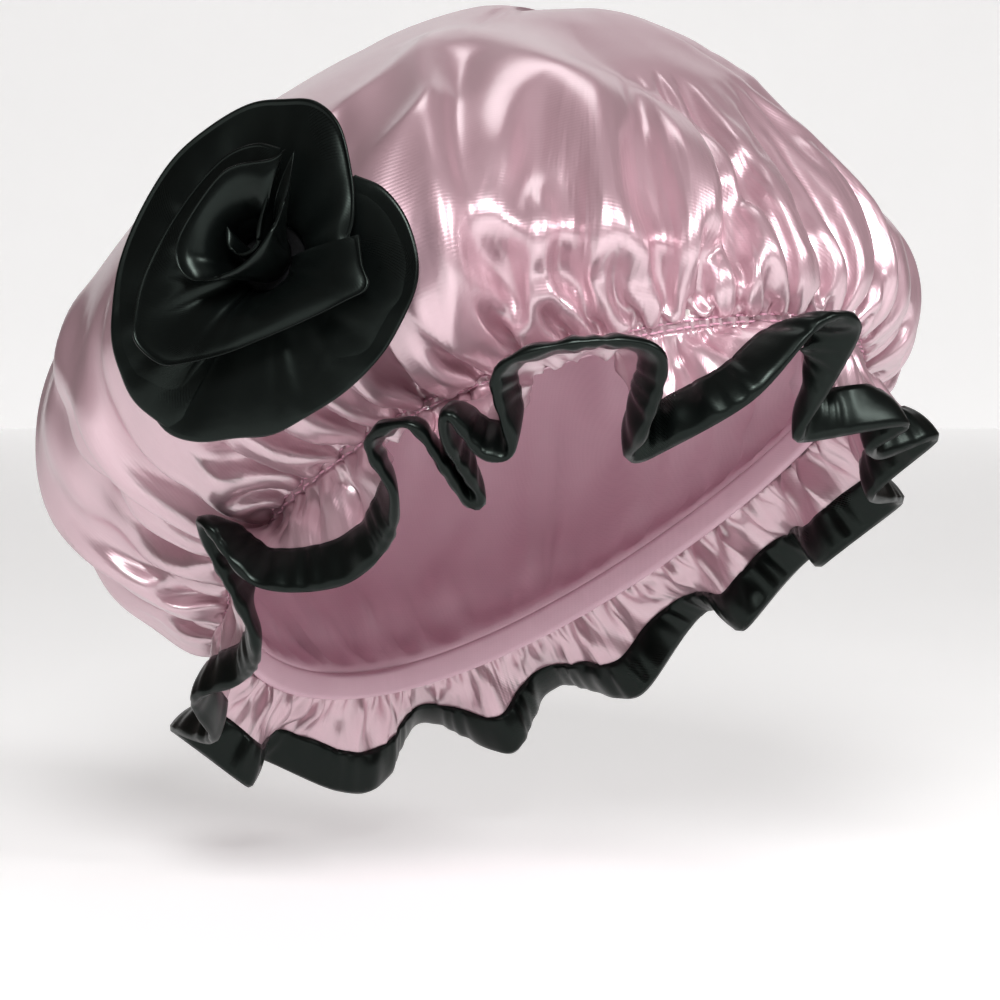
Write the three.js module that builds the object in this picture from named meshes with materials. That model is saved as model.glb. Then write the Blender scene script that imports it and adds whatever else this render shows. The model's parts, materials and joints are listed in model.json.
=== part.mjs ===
// A bouffant shower cap: a gathered satin crown over a waterproof lining, an elastic loop in a casing,
// a frill with a bound hem, and a satin rose sewn to one side on a thread shank.
// Millimetres, +Z up. The wearer faces -Y, and the origin is the middle of the elastic loop.
import * as THREE from "three";

// Elastic loop as it lies on a head, from its middle to the ear, the forehead and the nape
const LOOP_HALF_WIDTH = 80;
const LOOP_FRONT_REACH = 105;
const LOOP_BACK_REACH = 114;
const LOOP_FRONT_TILT = 28;
const LOOP_BACK_TILT = 36;

// Cloth, film and tape
const SATIN_WALL = 0.8;
const LINING_WALL = 0.5;
const CLEARANCE = 0.3;
const ELASTIC_WIDTH = 5;
const ELASTIC_THICKNESS = 1.2;
const ELASTIC_LAP = 26;
const CASING_WALL = 0.6;
const CASING_HEM = 1.2;
const THREAD = 0.7;

// Crown: where its top is, how steeply it leaves the loop in degrees, and how far it puffs out.
// The rose's weight draws the soft bag down to the wearer's right and back.
const CROWN_HEIGHT = 127;
const CROWN_TOP_BACK = 6;
const CROWN_TOP_ASIDE = 10;
const CROWN_RISE = { front: 62, left: 13, back: 19, right: 24 };
const CROWN_PUFF = { front: 27, left: 58, back: 124, right: 108 };
const CROWN_ROOF = { front: 58, left: 46, back: 110, right: 96 };
const LINING_SLACK = 3;
const LINING_LOOSE = 0.3;

// Gathers that run up the crown from the elastic: [loop angle, how far up, how proud].
// They are full from this share of the way up, and leave a round patch under the rose smooth.
const GATHER_FULL = 0.1;
const ROSE_PATCH = { smooth: 34, gathered: 51 };
const GATHERS = [
  [-172, 0.36, 5], [-157, 0.42, 5], [-143, 0.34, 5], [-128, 0.44, 6], [-112, 0.36, 5], [-96, 0.32, 4],
  [-80, 0.32, 4], [-66, 0.4, 5], [-52, 0.44, 6], [-38, 0.36, 5], [-25, 0.34, 5], [-11, 0.38, 5],
  [3, 0.44, 6], [17, 0.36, 5], [31, 0.4, 5], [46, 0.44, 5], [61, 0.36, 5], [77, 0.34, 4],
  [92, 0.4, 5], [107, 0.36, 5], [122, 0.44, 6], [138, 0.36, 5], [153, 0.4, 5], [169, 0.36, 5],
];

// Long soft folds of the slack satin: how proud and how wide they are, and where they run,
// as [loop angle, distance up from the seam]
const FOLD_STEPS = 24;
const FOLDS = [
  { proud: 5, wide: 17, line: [[-70, 162], [-38, 91], [-23, 62], [-15, 42], [-10, 29], [-7, 17]] },
  { proud: 4.5, wide: 7, line: [[-44, 46], [-39, 35], [-32, 29], [-24, 23], [-18, 20], [-14, 15]] },
  { proud: 2, wide: 15, line: [[42, 95], [36, 48], [32, 26]] },
  { proud: 5, wide: 9, line: [[-101, 76], [-98, 51], [-96, 36], [-95, 20], [-96, 6]] },
  { proud: 5, wide: 8, line: [[-128, 64], [-124, 39], [-123, 20], [-125, 5]] },
  { proud: 5, wide: 8, line: [[-137, 70], [-140, 38], [-143, 25], [-141, 8]] },
  { proud: 5, wide: 7, line: [[-66, 142], [-53, 89], [-48, 57], [-47, 38], [-49, 20], [-52, 5]] },
  { proud: 4, wide: 12, line: [[60, 120], [66, 70], [70, 24]] },
  { proud: 5, wide: 14, line: [[104, 150], [104, 84], [98, 30]] },
  { proud: 6, wide: 15, line: [[150, 180], [138, 110], [132, 40]] },
  { proud: 6, wide: 16, line: [[186, 200], [176, 120], [168, 40]] },
];

// Frill: its cut width, how far it falls straight from the seam, how it bows out, and places along its hem
// as [loop angle, outwards, leftwards, down] from the seam
const FRILL_WIDTH = 31;
const FRILL_NECK = 5;
const FRILL_BOW = 0.15;
const FRILL_BOW_PLACE = 0.55;
const HEM = [
  [-178, 4, 0, 29], [-168, 20, 3, 20], [-157, 3, 0, 30], [-146, 21, -2, 19], [-134, 4, -2, 29],
  [-124, 10, 3, 27], [-115, 1, 3, 29], [-107, 4, 8, 28], [-101, 20, 12, 5], [-95.5, 25, 10, 4],
  [-91, 16, 0, 21], [-82, 6, 0, 30], [-75, 6, 6, 28], [-69, 14, 8, 20], [-65, 22, 7, 9],
  [-60.5, 23, 6, 8], [-56, 22, 2, 10], [-51.5, 26, 0, 7], [-47.5, 21, -4, 17], [-43.5, 20, -4, 18],
  [-39, 28, -8, -2], [-33, 29, 3, -3], [-29.5, 27, 12, 4], [-28, 14, 2, 22], [-25.5, 3, -6, 28],
  [-22, 2, -4, 29], [-14, 18, 6, 18], [-6, 19, 15, 0], [2, 19, 14, 0], [8, 10, 6, 14],
  [12, 2, 0, 27], [17, 0, -1, 29], [28, 17, 4, 22], [34, 7, -1, 28], [40, 7, 1, 28],
  [48, 20, 0, 20], [61, 3, 0, 30], [75, 19, 0, 23], [88, 3, 0, 30], [99, 24, 3, 17],
  [110, 3, 0, 30], [121, 25, -3, 16], [132, 3, 0, 30], [143, 23, 3, 18], [154, 3, 0, 30],
  [165, 24, -3, 17], [174, 6, 0, 29],
];
const BINDING_WIDTH = 12;
const BINDING_WALL = 0.8;

// Rose: where it is sewn on the crown, its thread shank and its backing
const ROSE_ANGLE = -65.5;
const ROSE_UP = 0.25;
const ROSE_TIP = 14;
const SHANK_RADIUS = 2.5;
const SHANK_HEIGHT = 4;
const BACKING_RADIUS = 17;
const BACKING_WALL = 1.2;
const PETAL_WALL = 0.9;
const PETAL_AXIS = 60;
const PETAL_BOW = 80;
const PETAL_END = 0.35;
const PETAL_DROOP_POWER = 3;
const BUD_RADIUS = 5;
const BUD_HEIGHT = 15;
const BUD_PROFILE = [[0, 0], [1, 0], [1, 0.6], [0.7, 1], [0, 1]];

// Petals, innermost first: the turn they cover in degrees, the ring they are sewn on, how far their rim
// reaches, how much of that is left at their two ends, how high they rise, how far the rim droops at the
// rose's top and bottom, how late they flare, how they are drawn out long, and how they lean
const PETALS = {
  rose_inner_petal: {
    from: -35, to: 300, foot: 7.5, rim: 13, ends: [0.95, 0.95],
    height: 18, droop: [0, 0], flare: 1.7, long: 0.3, lean: [-3, 9],
  },
  rose_middle_petal: {
    from: -8, to: -285, foot: 10, rim: 29, ends: [1.15, 0.85],
    height: 13, droop: [3, 3], flare: 1.3, long: 0, lean: [0, 3],
  },
  rose_left_petal: {
    from: 46, to: 232, foot: 12.5, rim: 42, ends: [0.76, 0.8],
    height: 8.5, droop: [6, 12], flare: 1.3, long: 0, lean: [0, 0],
  },
  rose_right_petal: {
    from: 62, to: -158, foot: 15, rim: 41.5, ends: [0.7, 0.8],
    height: 4, droop: [3, 14], flare: 1.1, long: 0, lean: [0, 0],
  },
};

// How finely the pieces are faceted. The crown's rows are closer together where the gathers start.
const LOOP_FACETS = 72;
const CROWN_ROWS = [0, 0.05, 0.14, 0.25, 0.33, 0.42, 0.54, 0.68, 0.83];
const HEM_FACETS = 4;
const LAP_COLUMNS = 9;
const LAP_ROWS = 3;
const THREAD_FACETS = 5;
const SHANK_FACETS = 20;
const BACKING_FACETS = 36;
const BUD_FACETS = 14;
const PETAL_FACET = 13;
const PETAL_ROWS = 6;
const TINY_STEP = 1e-3;
const FULL_TURN = 360;

const radians = THREE.MathUtils.degToRad;
const lerp = THREE.MathUtils.lerp;
const smooth = THREE.MathUtils.smoothstep;
const UP = new THREE.Vector3(0, 0, 1);

// A point of a curve's or surface's own frame: origin plus so much along each of its directions
function offset(origin, ...steps) {
  const point = origin.clone();
  for (const [direction, distance] of steps) point.addScaledVector(direction, distance);
  return point;
}

// Closed solid from a grid of points. Columns run round in a ring. A station is one row of the
// ring's section: the section closes on itself, or starts and ends in a single pole point.
// Level says how far down the cloth a station is, so that both faces are cut into the same triangles.
function ringSolid(columns, stations, pointAt, { poles = false, level = (station) => station } = {}) {
  const positions = [];
  const index = [];
  const rings = [];
  for (let station = 0; station < stations; station++) {
    const isPole = poles && (station === 0 || station === stations - 1);
    const ring = [];
    for (let column = 0; column < (isPole ? 1 : columns); column++) {
      ring.push(positions.length / 3);
      positions.push(...pointAt(column, station).toArray());
    }
    rings.push(isPole ? Array(columns).fill(ring[0]) : ring);
  }
  const bands = poles ? stations - 1 : stations;
  for (let band = 0; band < bands; band++) {
    const after = (band + 1) % stations;
    const backwards = level(after) < level(band);
    for (let column = 0; column < columns; column++) {
      const next = (column + 1) % columns;
      const [a, b, c, d] = [rings[band][column], rings[band][next], rings[after][next], rings[after][column]];
      const faces = backwards ? [[a, b, d], [b, c, d]] : [[a, b, c], [a, c, d]];
      for (const face of faces) {
        if (new Set(face).size === face.length) index.push(...face);
      }
    }
  }
  return solid(positions, index);
}

// Closed solid from a sheet's two faces, a grid of points on each side, joined round the edge
function sheetSolid(columns, rows, faceAt) {
  const positions = [];
  const index = [];
  const at = (side, column, row) => side * columns * rows + row * columns + column;
  for (const side of [0, 1]) {
    for (let row = 0; row < rows; row++) {
      for (let column = 0; column < columns; column++) {
        positions.push(...faceAt(column / (columns - 1), row / (rows - 1), side).toArray());
      }
    }
  }
  const quad = (a, b, c, d) => index.push(a, b, c, a, c, d);
  for (let row = 0; row + 1 < rows; row++) {
    for (let column = 0; column + 1 < columns; column++) {
      quad(at(0, column, row), at(0, column + 1, row), at(0, column + 1, row + 1), at(0, column, row + 1));
      quad(at(1, column, row), at(1, column, row + 1), at(1, column + 1, row + 1), at(1, column + 1, row));
    }
    quad(at(0, 0, row), at(0, 0, row + 1), at(1, 0, row + 1), at(1, 0, row));
    const last = columns - 1;
    quad(at(0, last, row + 1), at(0, last, row), at(1, last, row), at(1, last, row + 1));
  }
  for (let column = 0; column + 1 < columns; column++) {
    quad(at(0, column + 1, 0), at(0, column, 0), at(1, column, 0), at(1, column + 1, 0));
    const last = rows - 1;
    quad(at(0, column, last), at(0, column + 1, last), at(1, column + 1, last), at(1, column, last));
  }
  return solid(positions, index);
}

// The geometry, with its faces turned to point out of the body
function solid(positions, index) {
  const geometry = new THREE.BufferGeometry();
  geometry.setAttribute("position", new THREE.Float32BufferAttribute(positions, 3));
  const corner = (i) => new THREE.Vector3().fromArray(positions, 3 * index[i]);
  let volume = 0;
  for (let i = 0; i < index.length; i += 3) volume += corner(i).dot(corner(i + 1).cross(corner(i + 2)));
  geometry.setIndex(volume < 0 ? index.slice().reverse() : index);
  geometry.computeVertexNormals();
  return geometry;
}

// A value that changes smoothly round the loop from forehead to ear to nape
function around(value, angle) {
  const forwards = Math.cos(angle) * Math.abs(Math.cos(angle));
  const leftwards = Math.sin(angle) * Math.abs(Math.sin(angle));
  const ends = forwards > 0 ? forwards * value.front : -forwards * value.back;
  const sides = leftwards > 0 ? leftwards * value.left : -leftwards * value.right;
  return ends + sides;
}

// The line the elastic follows round the head. Angle 0 is the forehead, and it grows towards +X.
function loopPoint(angle) {
  const front = (1 + Math.cos(angle)) / 2;
  const reach = lerp(LOOP_BACK_REACH, LOOP_FRONT_REACH, front) * Math.cos(angle);
  const tilt = radians(lerp(LOOP_BACK_TILT, LOOP_FRONT_TILT, front));
  return new THREE.Vector3(
    LOOP_HALF_WIDTH * Math.sin(angle),
    -reach * Math.cos(tilt),
    reach * Math.sin(tilt),
  );
}

// The loop's own directions at an angle: along it, away from the head, and up the head
function loopFrame(angle) {
  const origin = loopPoint(angle);
  const along = loopPoint(angle + TINY_STEP).sub(loopPoint(angle - TINY_STEP)).normalize();
  const out = along.clone().cross(UP).normalize();
  const up = out.clone().cross(along);
  return { origin, along, out, up };
}

// A band that runs round the loop with one section all the way, given as [out, up] corners
function loopBand(section) {
  return ringSolid(LOOP_FACETS, section.length, (column, corner) => {
    const { origin, out, up } = loopFrame((2 * Math.PI * column) / LOOP_FACETS);
    return offset(origin, [out, section[corner][0]], [up, section[corner][1]]);
  });
}

// Distances from the loop line, outwards and upwards, where the pieces of the seam sit
const elasticOut = ELASTIC_THICKNESS;
const elasticHalf = ELASTIC_WIDTH / 2;
const casingIn = -(ELASTIC_THICKNESS + 2 * CLEARANCE);
const channelHalf = elasticHalf + CLEARANCE;
const casingHalf = channelHalf + CASING_HEM;
const satinIn = elasticOut + CLEARANCE;
const satinOut = satinIn + SATIN_WALL;

// Braided elastic: one flat loop
function elasticBand() {
  return loopBand([
    [0, -elasticHalf],
    [elasticOut, -elasticHalf],
    [elasticOut, elasticHalf],
    [0, elasticHalf],
  ]);
}

// The end of the elastic, lapped over its beginning at the nape
function elasticLap() {
  const turn = ELASTIC_LAP / 2 / LOOP_HALF_WIDTH;
  const innerFace = -CLEARANCE - ELASTIC_THICKNESS;
  return sheetSolid(LAP_COLUMNS, LAP_ROWS, (across, rise, side) => {
    const { origin, out, up } = loopFrame(Math.PI + lerp(-turn, turn, across));
    const depth = side ? innerFace : -CLEARANCE;
    return offset(origin, [out, depth], [up, lerp(-elasticHalf, elasticHalf, rise)]);
  });
}

// Casing tape: a channel on the head's side whose two hems are sewn to the satin round the elastic
function elasticCasing() {
  const wall = casingIn - CASING_WALL;
  return loopBand([
    [wall, -casingHalf],
    [elasticOut, -casingHalf],
    [elasticOut, -channelHalf],
    [casingIn, -channelHalf],
    [casingIn, channelHalf],
    [elasticOut, channelHalf],
    [elasticOut, casingHalf],
    [wall, casingHalf],
  ]);
}

// One row of the stitching that closes the casing, as the thread that shows on the satin
function casingThread(height) {
  const middle = satinOut + CLEARANCE + THREAD / 2;
  const section = [];
  for (let corner = 0; corner < THREAD_FACETS; corner++) {
    const turn = (2 * Math.PI * corner) / THREAD_FACETS;
    section.push([middle + (THREAD / 2) * Math.cos(turn), height + (THREAD / 2) * Math.sin(turn)]);
  }
  return loopBand(section);
}

// One profile of the crown's inner face without its gathers, from the seam to the top
function crownProfile(angle) {
  const { origin, out, up } = loopFrame(angle);
  const foot = offset(origin, [out, satinIn], [up, casingHalf + THREAD]);
  const top = new THREE.Vector3(CROWN_TOP_ASIDE, CROWN_TOP_BACK, CROWN_HEIGHT);
  const lean = radians(around(CROWN_RISE, angle));
  const puff = around(CROWN_PUFF, angle);
  const bulge = offset(foot, [out, puff * Math.cos(lean)], [up, puff * Math.sin(lean)]);
  const towards = foot.clone().sub(top).setZ(0).normalize();
  const roof = offset(top, [towards, around(CROWN_ROOF, angle)]);
  return new THREE.CubicBezierCurve3(foot, bulge, roof, top);
}

// Inner face of the crown without its gathers, from the seam at 0 to the top at 1
function crownBase(angle, rise) {
  return crownProfile(angle).getPoint(rise);
}

// Which way the crown faces
function crownNormal(angle, rise) {
  const held = Math.min(rise, 1 - 2 * TINY_STEP);
  const across = crownBase(angle + TINY_STEP, held).sub(crownBase(angle - TINY_STEP, held));
  const below = Math.max(held - TINY_STEP, 0);
  const upwards = crownBase(angle, held + TINY_STEP).sub(crownBase(angle, below));
  return across.cross(upwards).normalize();
}

// A point off the crown's base by a distance. At the seam it is in the crease where the satin turns out.
function crownFace(angle, rise, distance) {
  const facing = crownNormal(angle, rise);
  if (rise > 0) return offset(crownBase(angle, rise), [facing, distance]);
  const { out } = loopFrame(angle);
  const crease = facing.add(out).normalize();
  return offset(crownBase(angle, rise), [crease, distance / crease.dot(out)]);
}

// Each long fold as points along it on the crown, rising from nothing at its two ends
const foldLines = FOLDS.map(({ proud, wide, line }) => {
  const places = line.map(([degrees, distance]) => {
    const profile = crownProfile(radians(degrees));
    return profile.getPointAt(distance / profile.getLength());
  });
  const points = new THREE.CatmullRomCurve3(places).getSpacedPoints(FOLD_STEPS);
  const swell = (step) => Math.sqrt(Math.sin((Math.PI * step) / FOLD_STEPS) + TINY_STEP);
  const heights = points.map((_, step) => proud * swell(step));
  return { wide, points, heights };
});

// How far the long folds lift a point of the crown
function foldLift(point) {
  let lift = 0;
  for (const { wide, points, heights } of foldLines) {
    const distances = points.map((place) => place.distanceTo(point));
    const nearest = Math.min(...distances);
    lift += heights[distances.indexOf(nearest)] * Math.exp(-((nearest / wide) ** 2));
  }
  return lift;
}

// How far the gathers and the long folds lift the satin off the crown's base.
// The rose's patch is left smooth.
function satinLift(angle, rise) {
  const spacing = (2 * Math.PI) / GATHERS.length;
  const base = crownBase(angle, rise);
  let lift = foldLift(base) * smooth(rise, 0, GATHER_FULL);
  for (const [degrees, reach, proud] of GATHERS) {
    const turn = angle - radians(degrees);
    const away = Math.abs(Math.atan2(Math.sin(turn), Math.cos(turn)));
    if (away > spacing / 2) continue;
    const ridge = Math.cos((away / spacing) * Math.PI) ** 2;
    lift += proud * ridge * smooth(rise, 0, GATHER_FULL) * (1 - smooth(rise, GATHER_FULL, reach));
  }
  return lift * smooth(base.distanceTo(roseAnchor()), ROSE_PATCH.smooth, ROSE_PATCH.gathered);
}

// Where the rose's shank meets the satin, on the smooth crown
function roseAnchor() {
  return crownBase(radians(ROSE_ANGLE), ROSE_UP);
}

// A dome over the loop, open below: its outer face down from the top, then its inner face back up
function dome(outerAt, innerAt, foot) {
  const down = [...CROWN_ROWS].reverse();
  const half = down.length + 2;
  return ringSolid(LOOP_FACETS, 2 * half, (column, station) => {
    const angle = (2 * Math.PI * column) / LOOP_FACETS;
    const outer = station < half;
    const step = outer ? station : 2 * half - 1 - station;
    if (step === half - 1) return foot(angle, outer);
    const rise = step === 0 ? 1 : down[step - 1];
    return outer ? outerAt(angle, rise) : innerAt(angle, rise);
  }, { poles: true, level: (station) => Math.min(station, 2 * half - 1 - station) });
}

// Satin crown, gathered along the seam
function crownCover() {
  const foot = (angle, outer) => {
    const { origin, out, up } = loopFrame(angle);
    return offset(origin, [out, outer ? satinOut : satinIn], [up, -elasticHalf]);
  };
  const outerAt = (angle, rise) => crownFace(angle, rise, satinLift(angle, rise) + SATIN_WALL);
  const innerAt = (angle, rise) => crownFace(angle, rise, satinLift(angle, rise));
  return dome(outerAt, innerAt, foot);
}

// Waterproof lining, hanging inside the crown and caught in the upper row of stitching
function crownLining() {
  const slack = (rise) => CLEARANCE + LINING_SLACK * smooth(rise, 0, LINING_LOOSE);
  const foot = (angle, outer) => {
    const { origin, out, up } = loopFrame(angle);
    const depth = satinIn - CLEARANCE - (outer ? 0 : LINING_WALL);
    return offset(origin, [out, depth], [up, casingHalf + CLEARANCE]);
  };
  const outerAt = (angle, rise) => crownFace(angle, rise, -slack(rise));
  const innerAt = (angle, rise) => crownFace(angle, rise, -slack(rise) - LINING_WALL);
  return dome(outerAt, innerAt, foot);
}

// The hem at a station: its loop angle in degrees, and how far it is outwards, leftwards and down
// from the seam. Stations count the places of the hem, and the line between them is smooth.
function hemPlace(station) {
  const first = Math.floor(station);
  const share = station - first;
  const place = (number) => {
    const turns = Math.floor(number / HEM.length);
    const [degrees, ...distances] = HEM[number - turns * HEM.length];
    return [degrees + FULL_TURN * turns, ...distances];
  };
  const [before, from, to, after] = [first - 1, first, first + 1, first + 2].map(place);
  return from.map((value, i) => {
    const leaving = (to[i] - before[i]) / 2;
    const arriving = (after[i] - value) / 2;
    const turn = 3 * (to[i] - value) - 2 * leaving - arriving;
    const bend = leaving + arriving - 2 * (to[i] - value);
    return value + share * (leaving + share * (turn + share * bend));
  });
}

// Middle of the frill's cloth, from the seam at 0 to the hem at 1
function frillPoint(station, fall) {
  const [degrees, outwards, leftwards, down] = hemPlace(station);
  const { origin, along, out, up } = loopFrame(radians(degrees));
  const head = offset(origin, [out, satinIn + SATIN_WALL / 2], [up, -elasticHalf - CLEARANCE]);
  const edge = offset(head, [out, outwards], [along, leftwards], [up, -down]);
  const neck = offset(head, [up, -FRILL_NECK]);
  const bow = offset(neck.clone().lerp(edge, FRILL_BOW_PLACE), [up, FRILL_BOW * outwards]);
  return new THREE.CubicBezierCurve3(head, neck, bow, edge).getPoint(fall);
}

// Which way the frill's outer face looks, and the way down its cloth
function frillFrame(station, fall) {
  const along = frillPoint(station + TINY_STEP, fall).sub(frillPoint(station - TINY_STEP, fall));
  const above = Math.max(fall - TINY_STEP, 0);
  const below = Math.min(fall + TINY_STEP, 1);
  const down = frillPoint(station, below).sub(frillPoint(station, above));
  const face = down.clone().cross(along).normalize();
  return { origin: frillPoint(station, fall), face, down: down.normalize() };
}

const frillColumns = HEM.length * HEM_FACETS;
const bindingTop = 1 - BINDING_WIDTH / FRILL_WIDTH;
const frillRows = [0, bindingTop / 2, bindingTop, 1];

// Satin frill: a strip sewn in with the elastic, its hem thrown into ruffles
function frill() {
  const outerFace = frillRows.map((fall) => [fall, 1]);
  const innerFace = frillRows.toReversed().map((fall) => [fall, -1]);
  const stations = [...outerFace, ...innerFace];
  return ringSolid(frillColumns, stations.length, (column, station) => {
    const [fall, side] = stations[station];
    const { origin, face } = frillFrame(column / HEM_FACETS, fall);
    return offset(origin, [face, (side * SATIN_WALL) / 2]);
  }, { level: (station) => stations[station][0] });
}

// Bias binding: folded over the frill's raw edge, with one leg on each face
function edgeBinding() {
  const inner = SATIN_WALL / 2 + CLEARANCE;
  const outer = inner + BINDING_WALL;
  const stations = [
    [bindingTop, outer, 0],
    [1, outer, CLEARANCE],
    [1, 0, CLEARANCE + outer],
    [1, -outer, CLEARANCE],
    [bindingTop, -outer, 0],
    [bindingTop, -inner, 0],
    [1, -inner, CLEARANCE],
    [1, inner, CLEARANCE],
    [bindingTop, inner, 0],
  ];
  return ringSolid(frillColumns, stations.length, (column, station) => {
    const [fall, aside, below] = stations[station];
    const { origin, face, down } = frillFrame(column / HEM_FACETS, fall);
    return offset(origin, [face, aside], [down, below]);
  }, { level: (station) => stations[station][0] });
}

// Heights in the rose: the tipped shank's edge clears the satin, then the backing and the petals' feet
const roseSeat = CLEARANCE + SHANK_RADIUS * Math.sin(radians(ROSE_TIP));
const backingFoot = SHANK_HEIGHT + CLEARANCE;
const petalFoot = backingFoot + BACKING_WALL + CLEARANCE;

// The rose's own place: its shank's foot on the crown, with Z away from the satin and Y up the crown.
// The rose looks a little upwards from the satin it is sewn to.
function roseGroup() {
  const facing = crownNormal(radians(ROSE_ANGLE), ROSE_UP);
  const across = UP.clone().cross(facing).normalize();
  const out = facing.clone().applyAxisAngle(across, -radians(ROSE_TIP));
  const group = new THREE.Group();
  group.position.copy(offset(roseAnchor(), [facing, SATIN_WALL + roseSeat]));
  const turned = new THREE.Matrix4().makeBasis(across, out.clone().cross(across), out);
  group.quaternion.setFromRotationMatrix(turned);
  return group;
}

// A round plate or peg of the rose, standing on a height
function disc(radius, height, foot, facets) {
  const geometry = new THREE.CylinderGeometry(radius, radius, height, facets);
  geometry.rotateX(Math.PI / 2);
  geometry.translate(0, 0, foot + height / 2);
  return geometry;
}

// Rolled heart of the rose, leaning with the inner petal
function bud() {
  const { lean, height } = PETALS.rose_inner_petal;
  return ringSolid(BUD_FACETS, BUD_PROFILE.length, (column, station) => {
    const turn = (2 * Math.PI * column) / BUD_FACETS;
    const radius = BUD_RADIUS * BUD_PROFILE[station][0];
    const rise = BUD_HEIGHT * BUD_PROFILE[station][1];
    return new THREE.Vector3(
      radius * Math.cos(turn) + (lean[0] * rise) / height,
      radius * Math.sin(turn) + (lean[1] * rise) / height,
      petalFoot + rise,
    );
  }, { poles: true });
}

// Middle of a petal's satin: across from one end to the other, and up from its foot to its rim
function petalPoint(petal, across, rise) {
  const turn = radians(lerp(petal.from, petal.to, across));
  const [start, finish] = petal.ends;
  const opening = lerp(start, 1, smooth(across, 0, PETAL_END));
  const closing = lerp(1, finish, smooth(across, 1 - PETAL_END, 1));
  const share = opening * closing;
  const rim = petal.rim * share * (1 + petal.long * Math.cos(2 * (turn - radians(PETAL_AXIS))));
  const radius = petal.foot + (rim - petal.foot) * rise ** petal.flare;
  const droop = lerp(petal.droop[1], petal.droop[0], (1 + Math.sin(turn)) / 2);
  const bowed = petal.height * Math.sin(rise * radians(PETAL_BOW));
  const height = bowed - droop * rise ** PETAL_DROOP_POWER;
  return new THREE.Vector3(
    radius * Math.cos(turn) + petal.lean[0] * rise,
    radius * Math.sin(turn) + petal.lean[1] * rise,
    petalFoot + PETAL_WALL / 2 + height,
  );
}

// One petal: a bowed sheet of folded satin
function petalSheet(petal, columns, rows) {
  return sheetSolid(columns, rows, (across, rise, side) => {
    const from = Math.max(rise - TINY_STEP, 0);
    const to = Math.min(rise + TINY_STEP, 1);
    const upwards = petalPoint(petal, across, to).sub(petalPoint(petal, across, from));
    const before = petalPoint(petal, across - TINY_STEP, rise);
    const along = petalPoint(petal, across + TINY_STEP, rise).sub(before);
    const face = along.cross(upwards).normalize();
    const depth = side ? PETAL_WALL / 2 : -PETAL_WALL / 2;
    return offset(petalPoint(petal, across, rise), [face, depth]);
  });
}

const pinkSatin = new THREE.MeshStandardMaterial({ color: 0xe7b3c8, roughness: 0.3, metalness: 0 });
const pinkLining = new THREE.MeshStandardMaterial({ color: 0xeac0d0, roughness: 0.45, metalness: 0 });
const whiteElastic = new THREE.MeshStandardMaterial({ color: 0xf0eeec, roughness: 0.9, metalness: 0 });
const pinkThread = new THREE.MeshStandardMaterial({ color: 0xdfa3ba, roughness: 0.7, metalness: 0 });
const blackSatin = new THREE.MeshStandardMaterial({ color: 0x0d1110, roughness: 0.35, metalness: 0 });
const blackFelt = new THREE.MeshStandardMaterial({ color: 0x0b0b0b, roughness: 1, metalness: 0 });
const blackThread = new THREE.MeshStandardMaterial({ color: 0x0b0b0b, roughness: 0.8, metalness: 0 });

function piece(name, geometry, material) {
  const mesh = new THREE.Mesh(geometry, material);
  mesh.name = name;
  return mesh;
}

const rose = roseGroup();
rose.add(
  piece("rose_shank", disc(SHANK_RADIUS, SHANK_HEIGHT, 0, SHANK_FACETS), blackThread),
  piece("rose_backing", disc(BACKING_RADIUS, BACKING_WALL, backingFoot, BACKING_FACETS), blackFelt),
  piece("rose_bud", bud(), blackSatin),
);
for (const [name, petal] of Object.entries(PETALS)) {
  const columns = Math.round(Math.abs(petal.to - petal.from) / PETAL_FACET) + 1;
  rose.add(piece(name, petalSheet(petal, columns, PETAL_ROWS), blackSatin));
}

const cap = new THREE.Group();
cap.add(
  piece("crown_cover", crownCover(), pinkSatin),
  piece("crown_lining", crownLining(), pinkLining),
  piece("elastic_casing", elasticCasing(), pinkSatin),
  piece("elastic_band", elasticBand(), whiteElastic),
  piece("elastic_lap", elasticLap(), whiteElastic),
  piece("upper_stitching", casingThread(channelHalf + CASING_HEM / 2), pinkThread),
  piece("lower_stitching", casingThread(-elasticHalf + THREAD), pinkThread),
  piece("frill", frill(), pinkSatin),
  piece("edge_binding", edgeBinding(), blackSatin),
  rose,
);

export default cap;
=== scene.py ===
# A bouffant shower cap in pink satin, with a ruffled frill bound in black and a black satin rose.
# Metres, +Z up. The wearer faces -Y, and the origin is the middle of the elastic loop.
import json
import math

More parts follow.
